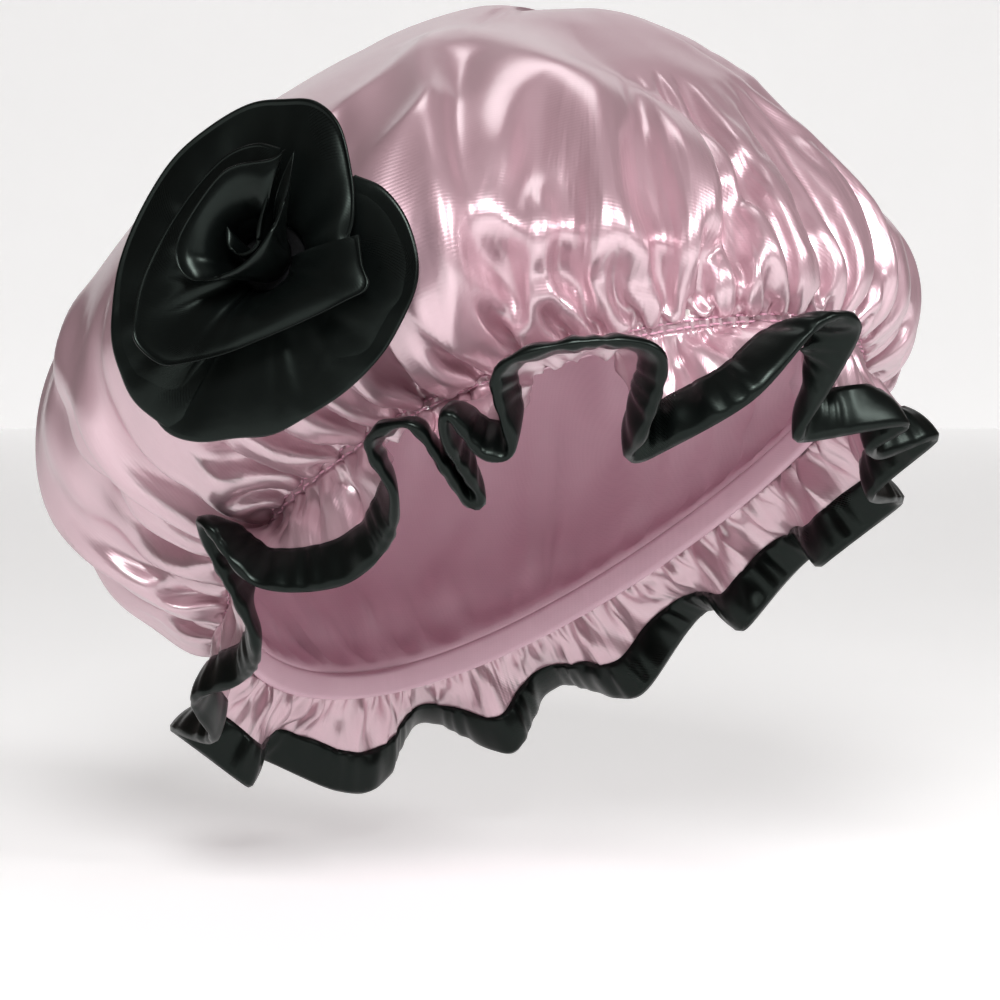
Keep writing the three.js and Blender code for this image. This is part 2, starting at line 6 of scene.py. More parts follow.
import bpy
import numpy as np
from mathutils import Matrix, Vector


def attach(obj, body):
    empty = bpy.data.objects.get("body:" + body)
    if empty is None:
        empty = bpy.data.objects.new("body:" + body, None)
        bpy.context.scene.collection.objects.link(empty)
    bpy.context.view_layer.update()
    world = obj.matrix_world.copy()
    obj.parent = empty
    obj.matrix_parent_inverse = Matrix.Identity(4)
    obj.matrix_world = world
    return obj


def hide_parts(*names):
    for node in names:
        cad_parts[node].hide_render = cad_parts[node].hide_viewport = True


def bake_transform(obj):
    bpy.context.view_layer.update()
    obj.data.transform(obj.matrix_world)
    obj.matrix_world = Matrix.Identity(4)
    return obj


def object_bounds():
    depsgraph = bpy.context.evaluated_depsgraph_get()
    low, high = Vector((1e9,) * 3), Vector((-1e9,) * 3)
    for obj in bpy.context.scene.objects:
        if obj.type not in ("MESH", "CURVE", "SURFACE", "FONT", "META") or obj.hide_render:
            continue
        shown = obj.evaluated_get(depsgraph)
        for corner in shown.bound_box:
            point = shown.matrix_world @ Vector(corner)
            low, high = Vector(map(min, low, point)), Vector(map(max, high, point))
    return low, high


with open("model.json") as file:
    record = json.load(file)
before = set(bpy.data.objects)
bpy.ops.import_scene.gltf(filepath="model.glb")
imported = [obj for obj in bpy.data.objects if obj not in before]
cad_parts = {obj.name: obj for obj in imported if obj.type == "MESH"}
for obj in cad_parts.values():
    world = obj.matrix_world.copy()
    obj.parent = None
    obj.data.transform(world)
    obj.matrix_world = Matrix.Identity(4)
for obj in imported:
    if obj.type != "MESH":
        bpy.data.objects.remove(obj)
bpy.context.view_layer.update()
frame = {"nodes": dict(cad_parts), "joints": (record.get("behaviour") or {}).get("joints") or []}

# Elastic
# A flat braided loop, stretched as it is sewn into the mouth, so that it draws the cloth in.
# Its end laps over its beginning at the nape, and that end moves when the mouth is pulled open.
MM = 0.001
LOOP_HALF_WIDTH = 80 * MM
LOOP_FRONT_REACH = 105 * MM
LOOP_BACK_REACH = 114 * MM
LOOP_FRONT_TILT = math.radians(28)
LOOP_BACK_TILT = math.radians(36)
ELASTIC_WIDTH = 5 * MM
ELASTIC_THICKNESS = 1.2 * MM
ELASTIC_WHITE = (0.84, 0.83, 0.8, 1)
ELASTIC_SHADE = (0.6, 0.58, 0.55, 1)
BRAID_PITCH = 1.1 * MM
NUDGE = 1e-3


def unit(vectors):
    return vectors / np.linalg.norm(vectors, axis=-1, keepdims=True)


def smooth(value, low, high):
    share = np.clip((value - low) / (high - low), 0, 1)
    return share * share * (3 - 2 * share)


def loop_point(angle):
    """The line that the elastic follows. Angle 0 is the forehead, and it grows towards the wearer's left."""
    front = (1 + np.cos(angle)) / 2
    reach = (LOOP_BACK_REACH + (LOOP_FRONT_REACH - LOOP_BACK_REACH) * front) * np.cos(angle)
    tilt = LOOP_BACK_TILT + (LOOP_FRONT_TILT - LOOP_BACK_TILT) * front
    return np.stack([LOOP_HALF_WIDTH * np.sin(angle), -reach * np.cos(tilt), reach * np.sin(tilt)], -1)


def loop_frame(angle):
    """A point of the loop, with the directions along it, away from the head and up the head."""
    along = unit(loop_point(angle + NUDGE) - loop_point(angle - NUDGE))
    out = unit(np.cross(along, [0.0, 0.0, 1.0]))
    return loop_point(angle), along, out, np.cross(out, along)


def off_loop(angle, outwards, upwards):
    """Points at a distance from the loop line, outwards and upwards."""
    origin, _, out, up = loop_frame(angle)
    return origin + np.asarray(outwards)[..., None] * out + np.asarray(upwards)[..., None] * up


def turns(count):
    """Angles once round the loop, starting at the nape."""
    return np.linspace(-np.pi, np.pi, count, endpoint=False)


def show(name, data):
    """A new object in the scene."""
    made = bpy.data.objects.new(name, data)
    bpy.context.scene.collection.objects.link(made)
    return made


def grid_piece(name, points, uv, material, ring=True, tube=False, pole=None):
    """A mesh over a grid of points, columns first. A ring closes on its first column, a tube on its
    first row, and there the map has one more. A pole closes the last row with one point."""
    columns, rows = points.shape[:2]
    across = np.arange(columns if ring else columns - 1)
    upwards = np.arange(rows if tube else rows - 1)
    j, i = (axis.ravel() for axis in np.meshgrid(across, upwards, indexing="ij"))
    corners = [(j, i), (j + 1, i), (j + 1, i + 1), (j, i + 1)]
    faces = np.stack([(a % columns) * rows + b % rows for a, b in corners], -1).tolist()
    maps = np.stack([uv[a, b] for a, b in corners], 1).reshape(-1, 2)
    places = points.reshape(-1, 3).tolist()
    if pole is not None:
        last = rows - 1
        j = np.arange(columns)
        tip = len(places)
        places.append(list(pole))
        faces += [[a * rows + last, (a + 1) % columns * rows + last, tip] for a in range(columns)]
        middle = uv[:columns, last].mean(0)
        fan = np.stack([uv[j, last], uv[j + 1, last], np.broadcast_to(middle, (columns, 2))], 1)
        maps = np.vstack([maps, fan.reshape(-1, 2)])
    mesh = bpy.data.meshes.new(name)
    mesh.from_pydata(places, [], faces)
    mesh.uv_layers.new(name="cut").data.foreach_set("uv", maps.astype(np.float32).ravel())
    mesh.shade_smooth()
    mesh.materials.append(material)
    return show(name, mesh)


class Wire:
    """A socket of a material's tree. Sums of wires add Math nodes, and node() adds any other node."""

    def __init__(self, tree, socket=None):
        self.tree = tree
        self.socket = socket

    def node(self, kind, settings=None, inputs=None, out=0):
        made = self.tree.nodes.new(kind)
        for name, value in (settings or {}).items():
            setattr(made, name, value)
        for name, value in (inputs or {}).items():
            if isinstance(value, Wire):
                self.tree.links.new(value.socket, made.inputs[name])
            else:
                made.inputs[name].default_value = value
        return Wire(self.tree, made.outputs[out])

    def sum(self, operation, first, second):
        return self.node("ShaderNodeMath", {"operation": operation}, {0: first, 1: second})

    def __add__(self, other):
        return self.sum("ADD", self, other)

    def __radd__(self, other):
        return self.sum("ADD", other, self)

    def __sub__(self, other):
        return self.sum("SUBTRACT", self, other)

    def __mul__(self, other):
        return self.sum("MULTIPLY", self, other)

    def __rmul__(self, other):
        return self.sum("MULTIPLY", other, self)

    def blend(self, first, second):
        """A colour between two, by this wire's value."""
        colours = {"data_type": "RGBA"}
        return self.node("ShaderNodeMix", colours, {0: self, 6: first, 7: second}, out=2)

    def place(self):
        """Where a point lies on the object."""
        return self.node("ShaderNodeTexCoord", out="Object")

    def noise(self, vector, scale, detail=2.0):
        sizes = {"Vector": vector, "Scale": scale, "Detail": detail}
        return self.node("ShaderNodeTexNoise", {}, sizes)

    def lines(self, vector, pitch, direction="X"):
        """Fine parallel lines at a pitch, as a weave or a braid has."""
        wave = {"wave_type": "BANDS", "bands_direction": direction, "wave_profile": "SIN"}
        return self.node("ShaderNodeTexWave", wave, {"Vector": vector, "Scale": math.pi / 10 / pitch})

    def bump(self, height, distance, strength=1.0, below=None):
        sizes = {"Height": height, "Distance": distance, "Strength": strength}
        if below is not None:
            sizes["Normal"] = below
        return self.node("ShaderNodeBump", {}, sizes)


def new_finish(name, **constants):
    """A material with its shader's constant sockets set, and a wire to start its nodes from."""
    material = bpy.data.materials.new(name)
    material.use_nodes = True
    shader = material.node_tree.nodes["Principled BSDF"]
    for socket, value in constants.items():
        shader.inputs[socket.replace("_", " ")].default_value = value
    return material, shader, Wire(material.node_tree)


def feed(shader, **wires):
    for socket, wire in wires.items():
        wire.tree.links.new(wire.socket, shader.inputs[socket.replace("_", " ")])


def braided_elastic():
    """Covered rubber threads braided flat: fine ribs along the band, crossed by the braid."""
    material, shader, start = new_finish("braided_elastic", Roughness=0.75, Sheen_Weight=0.2)
    place = start.place()
    braid = start.lines(place, BRAID_PITCH, "DIAGONAL")
    worn = start.noise(place, 140.0)
    feed(shader, Base_Color=(braid * 0.5 + worn * 0.5).blend(ELASTIC_SHADE, ELASTIC_WHITE))
    feed(shader, Normal=start.bump(braid, 0.2 * MM, 0.6))
    return material


def stretches(piece, slot, *nodes):
    """The piece takes the place of its nodes, which are hidden, and its placement is baked into its points.
    """
    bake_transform(piece)
    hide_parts(*nodes)


def dress(node, material):
    """Puts a material on a piece that keeps its shape from the frame."""
    node.data.materials.clear()
    node.data.materials.append(material)


elastic_finish = braided_elastic()
elastic_half = ELASTIC_WIDTH / 2
elastic_angle = turns(300)
elastic_section = [
    (0, -0.9), (0.15, -1), (0.85, -1), (1, -0.9), (1, -0.3), (1, 0.3),
    (1, 0.9), (0.85, 1), (0.15, 1), (0, 0.9), (0, 0.3), (0, -0.3),
]
elastic_points = np.stack([
    off_loop(elastic_angle, thick * ELASTIC_THICKNESS, rise * elastic_half)
    for thick, rise in elastic_section
], 1)
elastic_map = np.zeros((len(elastic_angle) + 1, len(elastic_section) + 1, 2))
elastic = grid_piece("elastic", elastic_points, elastic_map, elastic_finish, tube=True)
stretches(elastic, "elastic", "elastic_band")
dress(frame["nodes"]["elastic_lap"], elastic_finish)

# Gathers
# The satin is cut more than twice as long as the elastic, so it puckers all along the seam.
# The smallest puckers start at the stitches and run together into wider folds further up the cloth.
PUCKERS = [
    {"count": 118, "proud": 2.4 * MM, "start": -8 * MM, "full": 3 * MM, "end": 15 * MM, "seed": 11},
    {"count": 56, "proud": 5.0 * MM, "start": 1 * MM, "full": 11 * MM, "end": 30 * MM, "seed": 12},
    {"count": 29, "proud": 7.0 * MM, "start": 5 * MM, "full": 22 * MM, "end": 80 * MM, "seed": 13},
]
PUCKER_MIDDLE = 0.6
SEAM_GATHER = 1.4
SEAM_SINK = 0.5 * MM


def fold_rows(angle, count, seed):
    """Uneven folds round the loop. For each angle: how far it stands up its fold, and that fold's own
    shares of the height and of the reach."""
    draw = np.random.default_rng(seed)
    edges = np.sort(turns(count) + draw.uniform(-0.34, 0.34, count) * 2 * np.pi / count)
    shares = draw.uniform(0.45, 1.25, count)
    reaches = draw.uniform(0.7, 1.3, count)
    turned = (angle - edges[0]) % (2 * np.pi) + edges[0]
    fold = np.clip(np.searchsorted(edges, turned, side="right") - 1, 0, count - 1)
    ends = np.append(edges[1:], edges[0] + 2 * np.pi)
    along = (turned - edges[fold]) / (ends[fold] - edges[fold])
    return np.sin(np.pi * np.clip(along, 0, 1)) ** 0.8, shares[fold], reaches[fold]


def gathers(angle, climb):
    """How far the gathers lift the cloth at an angle and a distance up from the seam."""
    lift = 0
    for pucker in PUCKERS:
        crest, share, reach = fold_rows(angle, pucker["count"], pucker["seed"])
        rising = smooth(climb, pucker["start"], pucker["full"])
        fading = 1 - smooth(climb, pucker["full"], pucker["end"] * reach)
        lift = lift + pucker["proud"] * share * rising * fading * (crest - PUCKER_MIDDLE)
    return lift


def seam_lift(angle):
    """How far the gathers lift the cloth where it is sewn down along the elastic."""
    return np.maximum(gathers(angle, 0) * SEAM_GATHER, -SEAM_SINK)


# Satin crown
# One oval of satin, gathered on to the elastic all round and puffed over the hair.
# The rose's weight draws the bag down to the wearer's right, and the spare cloth falls into soft folds.
# Each crease below is its rise and width in millimetres, and its line: degrees round, millimetres up.
SEAM_OUT = 1.9 * MM
BAND_LOW = -elastic_half
CROWN_FOOT = 0.2 * MM
CROWN_TOP = np.array([10, 6, 127]) * MM
CROWN_RISE = {"front": 62, "left": 13, "back": 19, "right": 24}
CROWN_PUFF = {"front": 27, "left": 58, "back": 124, "right": 108}
CROWN_ROOF = {"front": 58, "left": 46, "back": 110, "right": 96}
CROWN_COLUMNS = 768
CROWN_ROWS = 104
CROWN_CLOSER = 1.3
BAND_ROWS = 5
SETTLE_STEPS = 360
THREAD_PULL = {"weft": 0.22, "warp": 0.22, "left": 0.08, "right": 0.08}
THREAD_STEP = {"weft": (1, 0), "warp": (0, 1), "left": (1, 1), "right": (-1, 1)}
AIR_PUSH = 0.006 * MM
SOFT_EARLY = 0.14
SOFT_LATE = 0.04
BEND_RESIST = 0.03
HAIR_HOLD = 0.35
CREASES = [
    (5, 17, [(-70, 162), (-38, 91), (-23, 62), (-15, 42), (-10, 29), (-7, 17)]),
    (-8, 5, [(4, 42), (-4, 24), (-10, 14), (-14, 4)]),
    (4.5, 7, [(-44, 46), (-39, 35), (-32, 29), (-24, 23), (-18, 20), (-14, 15)]),
    (-4, 6, [(-42, 28), (-34, 19), (-24, 13), (-18, 11)]),
    (-5, 9, [(16, 66), (13, 32), (11, 14)]),
    (2, 15, [(42, 95), (36, 48), (32, 26)]),
    (5, 6, [(-110, 92), (-103, 62), (-100, 46), (-100, 30), (-100, 14), (-100, 6)]),
    (-5, 9, [(-118, 80), (-113, 56), (-110, 34), (-109, 12)]),
    (4, 4, [(-84, 34), (-88, 24), (-92, 13), (-96, 4)]),
    (5, 5, [(-128, 64), (-124, 39), (-123, 20), (-125, 5)]),
    (-5, 6, [(-131, 60), (-131, 30), (-130, 8)]),
    (5, 5, [(-137, 70), (-140, 38), (-143, 25), (-141, 8)]),
    (-5, 6, [(-150, 60), (-151, 30), (-151, 8)]),
    (5, 7, [(-66, 142), (-53, 89), (-48, 57), (-47, 38), (-49, 20), (-52, 5)]),
    (-5, 6, [(-52, 108), (-46, 62), (-43, 36), (-45, 12)]),
    (-4, 12, [(-30, 128), (-20, 90), (-6, 66), (6, 50)]),
    (-4, 6, [(-37, 76), (-35, 50), (-33, 22)]),
    (3, 6, [(-28, 70), (-28, 48), (-27, 24)]),
    (-4, 6, [(-19, 66), (-21, 44), (-22, 20)]),
    (-3, 6, [(1, 72), (-1, 48), (-3, 26)]),
    (4, 12, [(60, 120), (66, 70), (70, 24)]),
    (-4, 9, [(76, 110), (80, 60), (80, 20)]),
    (5, 14, [(104, 150), (104, 84), (98, 30)]),
    (-5, 10, [(120, 140), (118, 70), (114, 24)]),
    (6, 15, [(150, 180), (138, 110), (132, 40)]),
    (-5, 11, [(160, 150), (150, 90), (150, 30)]),
    (6, 16, [(186, 200), (176, 120), (168, 40)]),
    (-5, 11, [(194, 160), (190, 90), (184, 30)]),
    (-7, 18, [(37, 86), (40, 66), (42, 50), (45, 36)]),
    (4, 18, [(-114, 90), (-119, 74), (-125, 60), (-131, 46)]),
    (4, 18, [(-106, 192), (-92, 204), (-76, 196), (-62, 178)]),
    (3, 16, [(12, 136), (26, 125), (33, 112), (37, 100)]),
]
LOOSE_FOLDS = {"count": 46, "from": 24, "to": 308, "seed": 21, "drift": 9}
ROSE_SPOT = {"angle": -65.5, "climb": 52, "smooth": 20 * MM, "free": 44 * MM}
BROAD_FOLD = 15
FOLD_FREE = (12 * MM, 50 * MM)
TOP_ROUND = (10 * MM, 45 * MM)
CROWN_FADE = (20 * MM, 120 * MM)
SINK_SLOPE = 0.4
# Painted shade laid evenly over the gathered band at the elastic, for the shadow in its pinch.
BAND_PAINTED_SHADE = 0.4
CUT_SLACK = 1.035
SATIN_PINK = (0.62, 0.4, 0.46, 1)
# The second colour is painted shade: a deeper, browner pink mixed in down in the fold valleys.
SATIN_PAINTED_SHADE = (0.42, 0.17, 0.23, 1)
TWILL_PITCH = 0.6 * MM
PUCKER_BUMP = 3 * MM
PUCKER_ROUND = 26
PUCKER_UP = 40
PUCKER_FADE = (12 * MM, 80 * MM)


def around(value, angle):
    """A value that changes smoothly round the loop from forehead to ear to nape."""
    forwards = np.cos(angle) * np.abs(np.cos(angle))
    leftwards = np.sin(angle) * np.abs(np.sin(angle))
    ends = np.where(forwards > 0, forwards * value["front"], -forwards * value["back"])
    return ends + np.where(leftwards > 0, leftwards * value["left"], -leftwards * value["right"])


def bezier(first, second, third, fourth, share):
    share = share[..., None]
    left = 1 - share
    return left**3 * first + 3 * left**2 * share * second + 3 * left * share**2 * third + share**3 * fourth


def crown_base(angle, rise):
    """The crown without its folds, from the seam at 0 to the top at 1."""
    origin, _, out, up = loop_frame(angle)
    foot = origin + SEAM_OUT * out + CROWN_FOOT * up
    lean = np.radians(around(CROWN_RISE, angle))[..., None]
    puff = around(CROWN_PUFF, angle)[..., None] * MM
    bulge = foot + puff * (np.cos(lean) * out + np.sin(lean) * up)
    towards = unit((foot - CROWN_TOP) * [1, 1, 0])
    roof = CROWN_TOP + around(CROWN_ROOF, angle)[..., None] * MM * towards
    return bezier(foot, bulge, roof, CROWN_TOP, rise)


def profile_run(angle, count):
    """Shares of the way up the crown, and how far each profile has climbed there."""
    fine = np.linspace(0, 1, count)
    profile = crown_base(np.repeat(angle[:, None], count, 1), np.repeat(fine[None], len(angle), 0))
    steps = np.linalg.norm(np.diff(profile, axis=1), axis=2)
    return fine, np.concatenate([np.zeros((len(angle), 1)), np.cumsum(steps, 1)], 1)


def crown_grid(columns, rows):
    """Angles, distances up from the seam, the base's points and normals, and each profile's length."""
    angle = turns(columns)
    fine, climbed = profile_run(angle, 300)
    whole = climbed[:, -1:]
    climb = whole * (np.arange(rows) / rows) ** CROWN_CLOSER
    rise = np.stack([np.interp(climb[j], climbed[j], fine) for j in range(columns)])
    angles = np.repeat(angle[:, None], rows, 1)
    points = crown_base(angles, rise)
    across = crown_base(angles + NUDGE, rise) - crown_base(angles - NUDGE, rise)
    above = crown_base(angles, np.minimum(rise + NUDGE, 1))
    upwards = above - crown_base(angles, np.maximum(rise - NUDGE, 0))
    return angles, climb, points, unit(np.cross(across, upwards)), whole


def through(points, closed=False):
    """A smooth line through given points, in small steps."""
    points = np.asarray(points, float)
    if not closed:
        points = np.vstack([2 * points[0] - points[1], points, 2 * points[-1] - points[-2]])
    steps = np.linspace(0, 1, 24, endpoint=False)[:, None]
    spans = []
    for a, b, c, d in zip(points, points[1:], points[2:], points[3:]):
        turn = 2 * a - 5 * b + 4 * c - d
        spans.append(0.5 * (2 * b + (c - a) * steps + turn * steps**2 + (3 * b - a - 3 * c + d) * steps**3))
    if not closed:
        spans.append(points[-2:-1])
    return np.vstack(spans)


def crown_places(degrees, climbs):
    """Points of the smooth crown, from degrees round the loop and millimetres up from the seam."""
    angle = np.radians(degrees)
    fine, climbed = profile_run(angle, 120)
    rise = np.array([np.interp(climb * MM, run, fine) for climb, run in zip(climbs, climbed)])
    return crown_base(angle, rise)


def loose_folds():
    """Long uneven folds in the spare cloth at the sides and back, ridge and hollow by turns."""
    draw = np.random.default_rng(LOOSE_FOLDS["seed"])
    starts = np.linspace(LOOSE_FOLDS["from"], LOOSE_FOLDS["to"], LOOSE_FOLDS["count"])
    folds = []
    for number, start in enumerate(starts + draw.uniform(-2, 2, len(starts))):
        reach = draw.uniform(45, 150)
        lean, twist = draw.uniform(-LOOSE_FOLDS["drift"], LOOSE_FOLDS["drift"], 2)
        line = [(start, 4), (start + 0.3 * lean, 0.35 * reach)]
        line += [(start + twist, 0.7 * reach), (start + lean, reach)]
        rise = draw.uniform(1.5, 4.2) * (1 if number % 2 else -1)
        folds.append((rise, draw.uniform(4, 8), line))
    return folds


def slack_folds(points):
    """How far the long folds raise or press in each point of the crown. Under the rose the cloth lies
    smooth, and only the broad folds reach the crown's top."""
    places = points.reshape(-1, 3)
    lift = np.zeros(len(places))
    for rise, width, stops in CREASES + loose_folds():
        route = through(stops)[::3]
        line = crown_places(route[:, 0], route[:, 1])
        ends = np.sin(np.pi * np.linspace(0.04, 0.96, len(line))) ** 0.5
        wide = width * MM
        beside = (places > line.min(0) - 3.5 * wide) & (places < line.max(0) + 3.5 * wide)
        near = np.flatnonzero(beside.all(1))
        nearest = np.full(len(near), np.inf)
        share = np.zeros(len(near))
        for start, end, first, last in zip(line, line[1:], ends, ends[1:]):
            away = places[near] - start
            gone = np.clip(away @ (end - start) / ((end - start) ** 2).sum(), 0, 1)
            far = ((away - gone[:, None] * (end - start)) ** 2).sum(1)
            share = np.where(far < nearest, first + (last - first) * gone, share)
            nearest = np.minimum(far, nearest)
        if width < BROAD_FOLD:
            share = share * smooth(np.linalg.norm(places[near] - CROWN_TOP, axis=1), *FOLD_FREE)
        lift[near] += rise * MM * share * np.exp(-(nearest / wide**2) ** 0.75)
    rose = crown_places(np.array([ROSE_SPOT["angle"]]), [ROSE_SPOT["climb"]])[0]
    lift *= smooth(np.linalg.norm(places - rose, axis=1), ROSE_SPOT["smooth"], ROSE_SPOT["free"])
    return lift.reshape(points.shape[:2])


def flat_cut(angles, climb, whole):
    """Where each point of the crown lay in the flat oval of satin, with the gathers shared evenly
    along the seam."""
    seam = np.linalg.norm(loop_point(angles[:, 0] + NUDGE) - loop_point(angles[:, 0] - NUDGE), axis=1)
    turning = seam / whole[:, 0]
    polar = np.cumsum(turning) / turning.sum() * 2 * np.pi
    radius = whole - climb
    return np.stack([radius * np.sin(polar)[:, None], -radius * np.cos(polar)[:, None]], -1)


def settle(points, flat, base, normal, inwards, outwards, steps):
    """Lets the gathered cloth find its folds. Its threads keep the length they were cut to, a little air
    presses it out, it resists sharp bends, and it stays near the shape that the hair gives it."""
    lengths = {}
    for name, (j, i) in THREAD_STEP.items():
        ahead = np.roll(flat, -j, 0)[:, i:]
        lengths[name] = (j, i, CUT_SLACK * np.linalg.norm(ahead - flat[:, : flat.shape[1] - i], axis=2))
    columns = len(points)
    waves = 2 - 2 * np.cos(2 * np.pi * np.arange(columns // 2 + 1) / columns)
    cloth = points.copy()
    for step in range(steps):
        softening = SOFT_EARLY + (SOFT_LATE - SOFT_EARLY) * smooth(step / steps, 0.5, 0.8)
        stiffness = (1 / (1 + softening * waves**2))[:, None, None]
        move = AIR_PUSH * normal
        for name, (j, i, length) in lengths.items():
            rows = cloth.shape[1] - i
            gap = np.roll(cloth, -j, 0)[:, i:] - cloth[:, :rows]
            long = np.linalg.norm(gap, axis=2)
            pull = gap * (THREAD_PULL[name] * 0.5 * (1 - length / np.maximum(long, 1e-6)))[..., None]
            move[:, :rows] += pull
            move[:, i:] -= np.roll(pull, j, 0)
        bend = np.zeros_like(cloth)
        bend[:, 1:-1] = cloth[:, 2:] + cloth[:, :-2] - 2 * cloth[:, 1:-1]
        move[:, 1:-1] += BEND_RESIST * (2 * bend[:, 1:-1] - bend[:, 2:] - bend[:, :-2])
        cloth += move
        cloth = np.fft.irfft(np.fft.rfft(cloth, axis=0) * stiffness, columns, axis=0)
        cloth[:, 0] = points[:, 0]
        away = ((cloth - base) * normal).sum(2)
        cloth += HAIR_HOLD * (np.clip(away, -inwards, outwards) - away)[..., None] * normal
    return cloth


def pink_satin():
    """Polyester satin: a glossy face with fine twill lines, and painted shade as a deeper pink down in the
    gathers.
    """
    material, shader, start = new_finish(
        "pink_satin", Metallic=0.5, Specular_IOR_Level=0.8, Anisotropic=0.5,
        Coat_IOR=2.6, Coat_Roughness=0.26)
    cut = start.node("ShaderNodeUVMap", {"uv_map": "cut"})
    place = start.place()
    painted_shade = start.node("ShaderNodeAttribute", {"attribute_name": "painted_shade"}, out="Fac")
    twill = start.lines(cut, TWILL_PITCH, "DIAGONAL")
    gathered = start.node("ShaderNodeAttribute", {"attribute_name": "gathered"}, out="Vector")
    cloudy = start.noise(place, 26.0, 3.0)
    crumple = start.noise(place, 150.0, 3.0)
    fading = start.node("ShaderNodeAttribute", {"attribute_name": "fading"}, out="Fac")
    puckers = start.noise(gathered, 1.0, 2.0) * fading
    # Painted shade, deepest in fold valleys, plus a random cloudy tone in the cloth.
    shade = painted_shade * 0.45 + cloudy * 0.2 - 0.06
    feed(shader, Base_Color=shade.blend(SATIN_PINK, SATIN_PAINTED_SHADE))
    feed(shader, Roughness=0.3 + 0.1 * cloudy + 0.05 * twill)
    feed(shader, Coat_Weight=0.7 + 0.3 * cloudy)
    fine = start.bump(twill, 0.03 * MM, 0.5)
    creased = start.bump(crumple, 0.5 * MM, 0.12, fine)
    feed(shader, Normal=start.bump(puckers, PUCKER_BUMP, 0.6, creased))
    return material


def keep(piece, name, values, kind="FLOAT", field="value"):
    """Keeps a value at each point of a piece, for its material to read."""
    kept = piece.data.attributes.new(name, kind, "POINT")
    kept.data.foreach_set(field, values.astype(np.float32).ravel())


def add_gathers(piece, angle, climb):
    """Keeps where each point lies in the gathers, drawn out along them, for the cloth's fine puckers."""
    turned = PUCKER_ROUND * np.stack([np.cos(angle), np.sin(angle)], -1)
    place = np.concatenate([turned, PUCKER_UP * climb[..., None]], -1)
    keep(piece, "gathered", place, "FLOAT_VECTOR", "vector")
    keep(piece, "fading", 1 - smooth(np.abs(climb), *PUCKER_FADE))


def add_painted_shade(piece, painted_shade):
    """Keeps how deep in a fold each point lies, 0 on a crest and 1 in a valley, as painted shade that
    darkens the cloth's colour.
    """
    keep(piece, "painted_shade", np.clip(painted_shade, 0, 1))


def thicken(piece, wall):
    """Gives a sheet of cloth its thickness."""
    solid = piece.modifiers.new("wall", "SOLIDIFY")
    solid.thickness = wall
    solid.offset = 0


crown_angle, crown_climb, crown_smooth, crown_normal, crown_whole = crown_grid(CROWN_COLUMNS, CROWN_ROWS)
crown_flat = flat_cut(crown_angle, crown_climb, crown_whole)
crown_smooth = crown_smooth + slack_folds(crown_smooth)[..., None] * crown_normal
crown_sway = np.sin(5 * crown_angle + 1.3) + 0.6 * np.sin(11 * crown_angle)
crown_wander = 0.16 * (crown_climb / crown_whole) * crown_sway
crown_lift = gathers(crown_angle + crown_wander, crown_climb)
crown_lift = np.maximum(crown_lift, -SEAM_SINK - SINK_SLOPE * crown_climb)
crown_cloth = crown_smooth + crown_lift[..., None] * crown_normal
crown_room = smooth(crown_climb, -2 * MM, 16 * MM)
crown_taut = smooth(crown_climb, *CROWN_FADE)
crown_inwards = (0.4 + 7.1 * crown_room) * MM
crown_outwards = (2.2 + 2.8 * crown_room - 4.4 * crown_taut) * MM
crown_cloth = settle(
    crown_cloth, crown_flat, crown_smooth, crown_normal, crown_inwards, crown_outwards, SETTLE_STEPS)
crown_left = crown_whole - crown_climb
crown_below = smooth(crown_left, *TOP_ROUND)[..., None]
crown_puffed = ((crown_cloth - crown_smooth) * crown_normal).sum(2)
crown_puffed = crown_puffed[np.abs(crown_left - 40 * MM) < 8 * MM].mean()
crown_topped = crown_smooth + crown_puffed * crown_normal
crown_cloth = crown_topped + crown_below * (crown_cloth - crown_topped)

# The gathered band over the elastic, which the crown's cloth runs down across
band_height = np.linspace(BAND_LOW, CROWN_FOOT, BAND_ROWS, endpoint=False)
band_angle = np.repeat(turns(CROWN_COLUMNS)[:, None], BAND_ROWS, 1)
band_rise = np.repeat(band_height[None], CROWN_COLUMNS, 0)
band_points = off_loop(band_angle, SEAM_OUT + seam_lift(band_angle), band_rise)
cover_points = np.concatenate([band_points, crown_cloth], 1)
band_flat = crown_flat[:, :1] * (1 + (CROWN_FOOT - band_rise) / crown_whole)[..., None]
cover_map = np.concatenate([band_flat, crown_flat], 1)
cover_map = np.concatenate([cover_map, cover_map[:1]], 0)
satin_finish = pink_satin()
cover = grid_piece("satin_crown", cover_points, cover_map, satin_finish, pole=crown_cloth[:, -1].mean(0))
crown_away = ((crown_cloth - crown_smooth) * crown_normal).sum(2)
# Painted shade in the crown's fold valleys, where the cloth lies below its smooth shape, fading out up the
# crown.
crown_painted_shade = np.clip(0.35 - crown_away / (5 * MM), 0, 1) * (1 - smooth(crown_climb, *CROWN_FADE))
# The band over the elastic gets an even painted shade.
cover_painted_shade = np.concatenate([np.full((CROWN_COLUMNS, BAND_ROWS), BAND_PAINTED_SHADE), crown_painted_shade], 1)
add_painted_shade(cover, np.append(cover_painted_shade.ravel(), 0))
cover_angle = np.concatenate([band_angle, crown_angle + crown_wander], 1)
cover_climb = np.concatenate([band_rise - CROWN_FOOT, crown_climb], 1)
add_gathers(cover, np.append(cover_angle.ravel(), 0), np.append(cover_climb.ravel(), crown_whole.mean()))
stretches(cover, "pink_satin", "crown_cover")

# Lining
# Thin coated cloth that keeps the wet out. It is sewn in with the elastic and hangs slack inside the satin.
LINING_COLUMNS = 256
LINING_ROWS = 48
LINING_ROOM = 8 * MM
LINING_CUT = 0.88
LINING_WALL = 0.4 * MM
LINING_FOOT = 2 * MM
LINING_SEAM = 3.6 * MM
LINING_BACK = 2.2 * MM
LINING_OUT = 0.2 * MM
LINING_PINK = (0.72, 0.5, 0.57, 1)
LINING_SHADE = (0.6, 0.38, 0.46, 1)


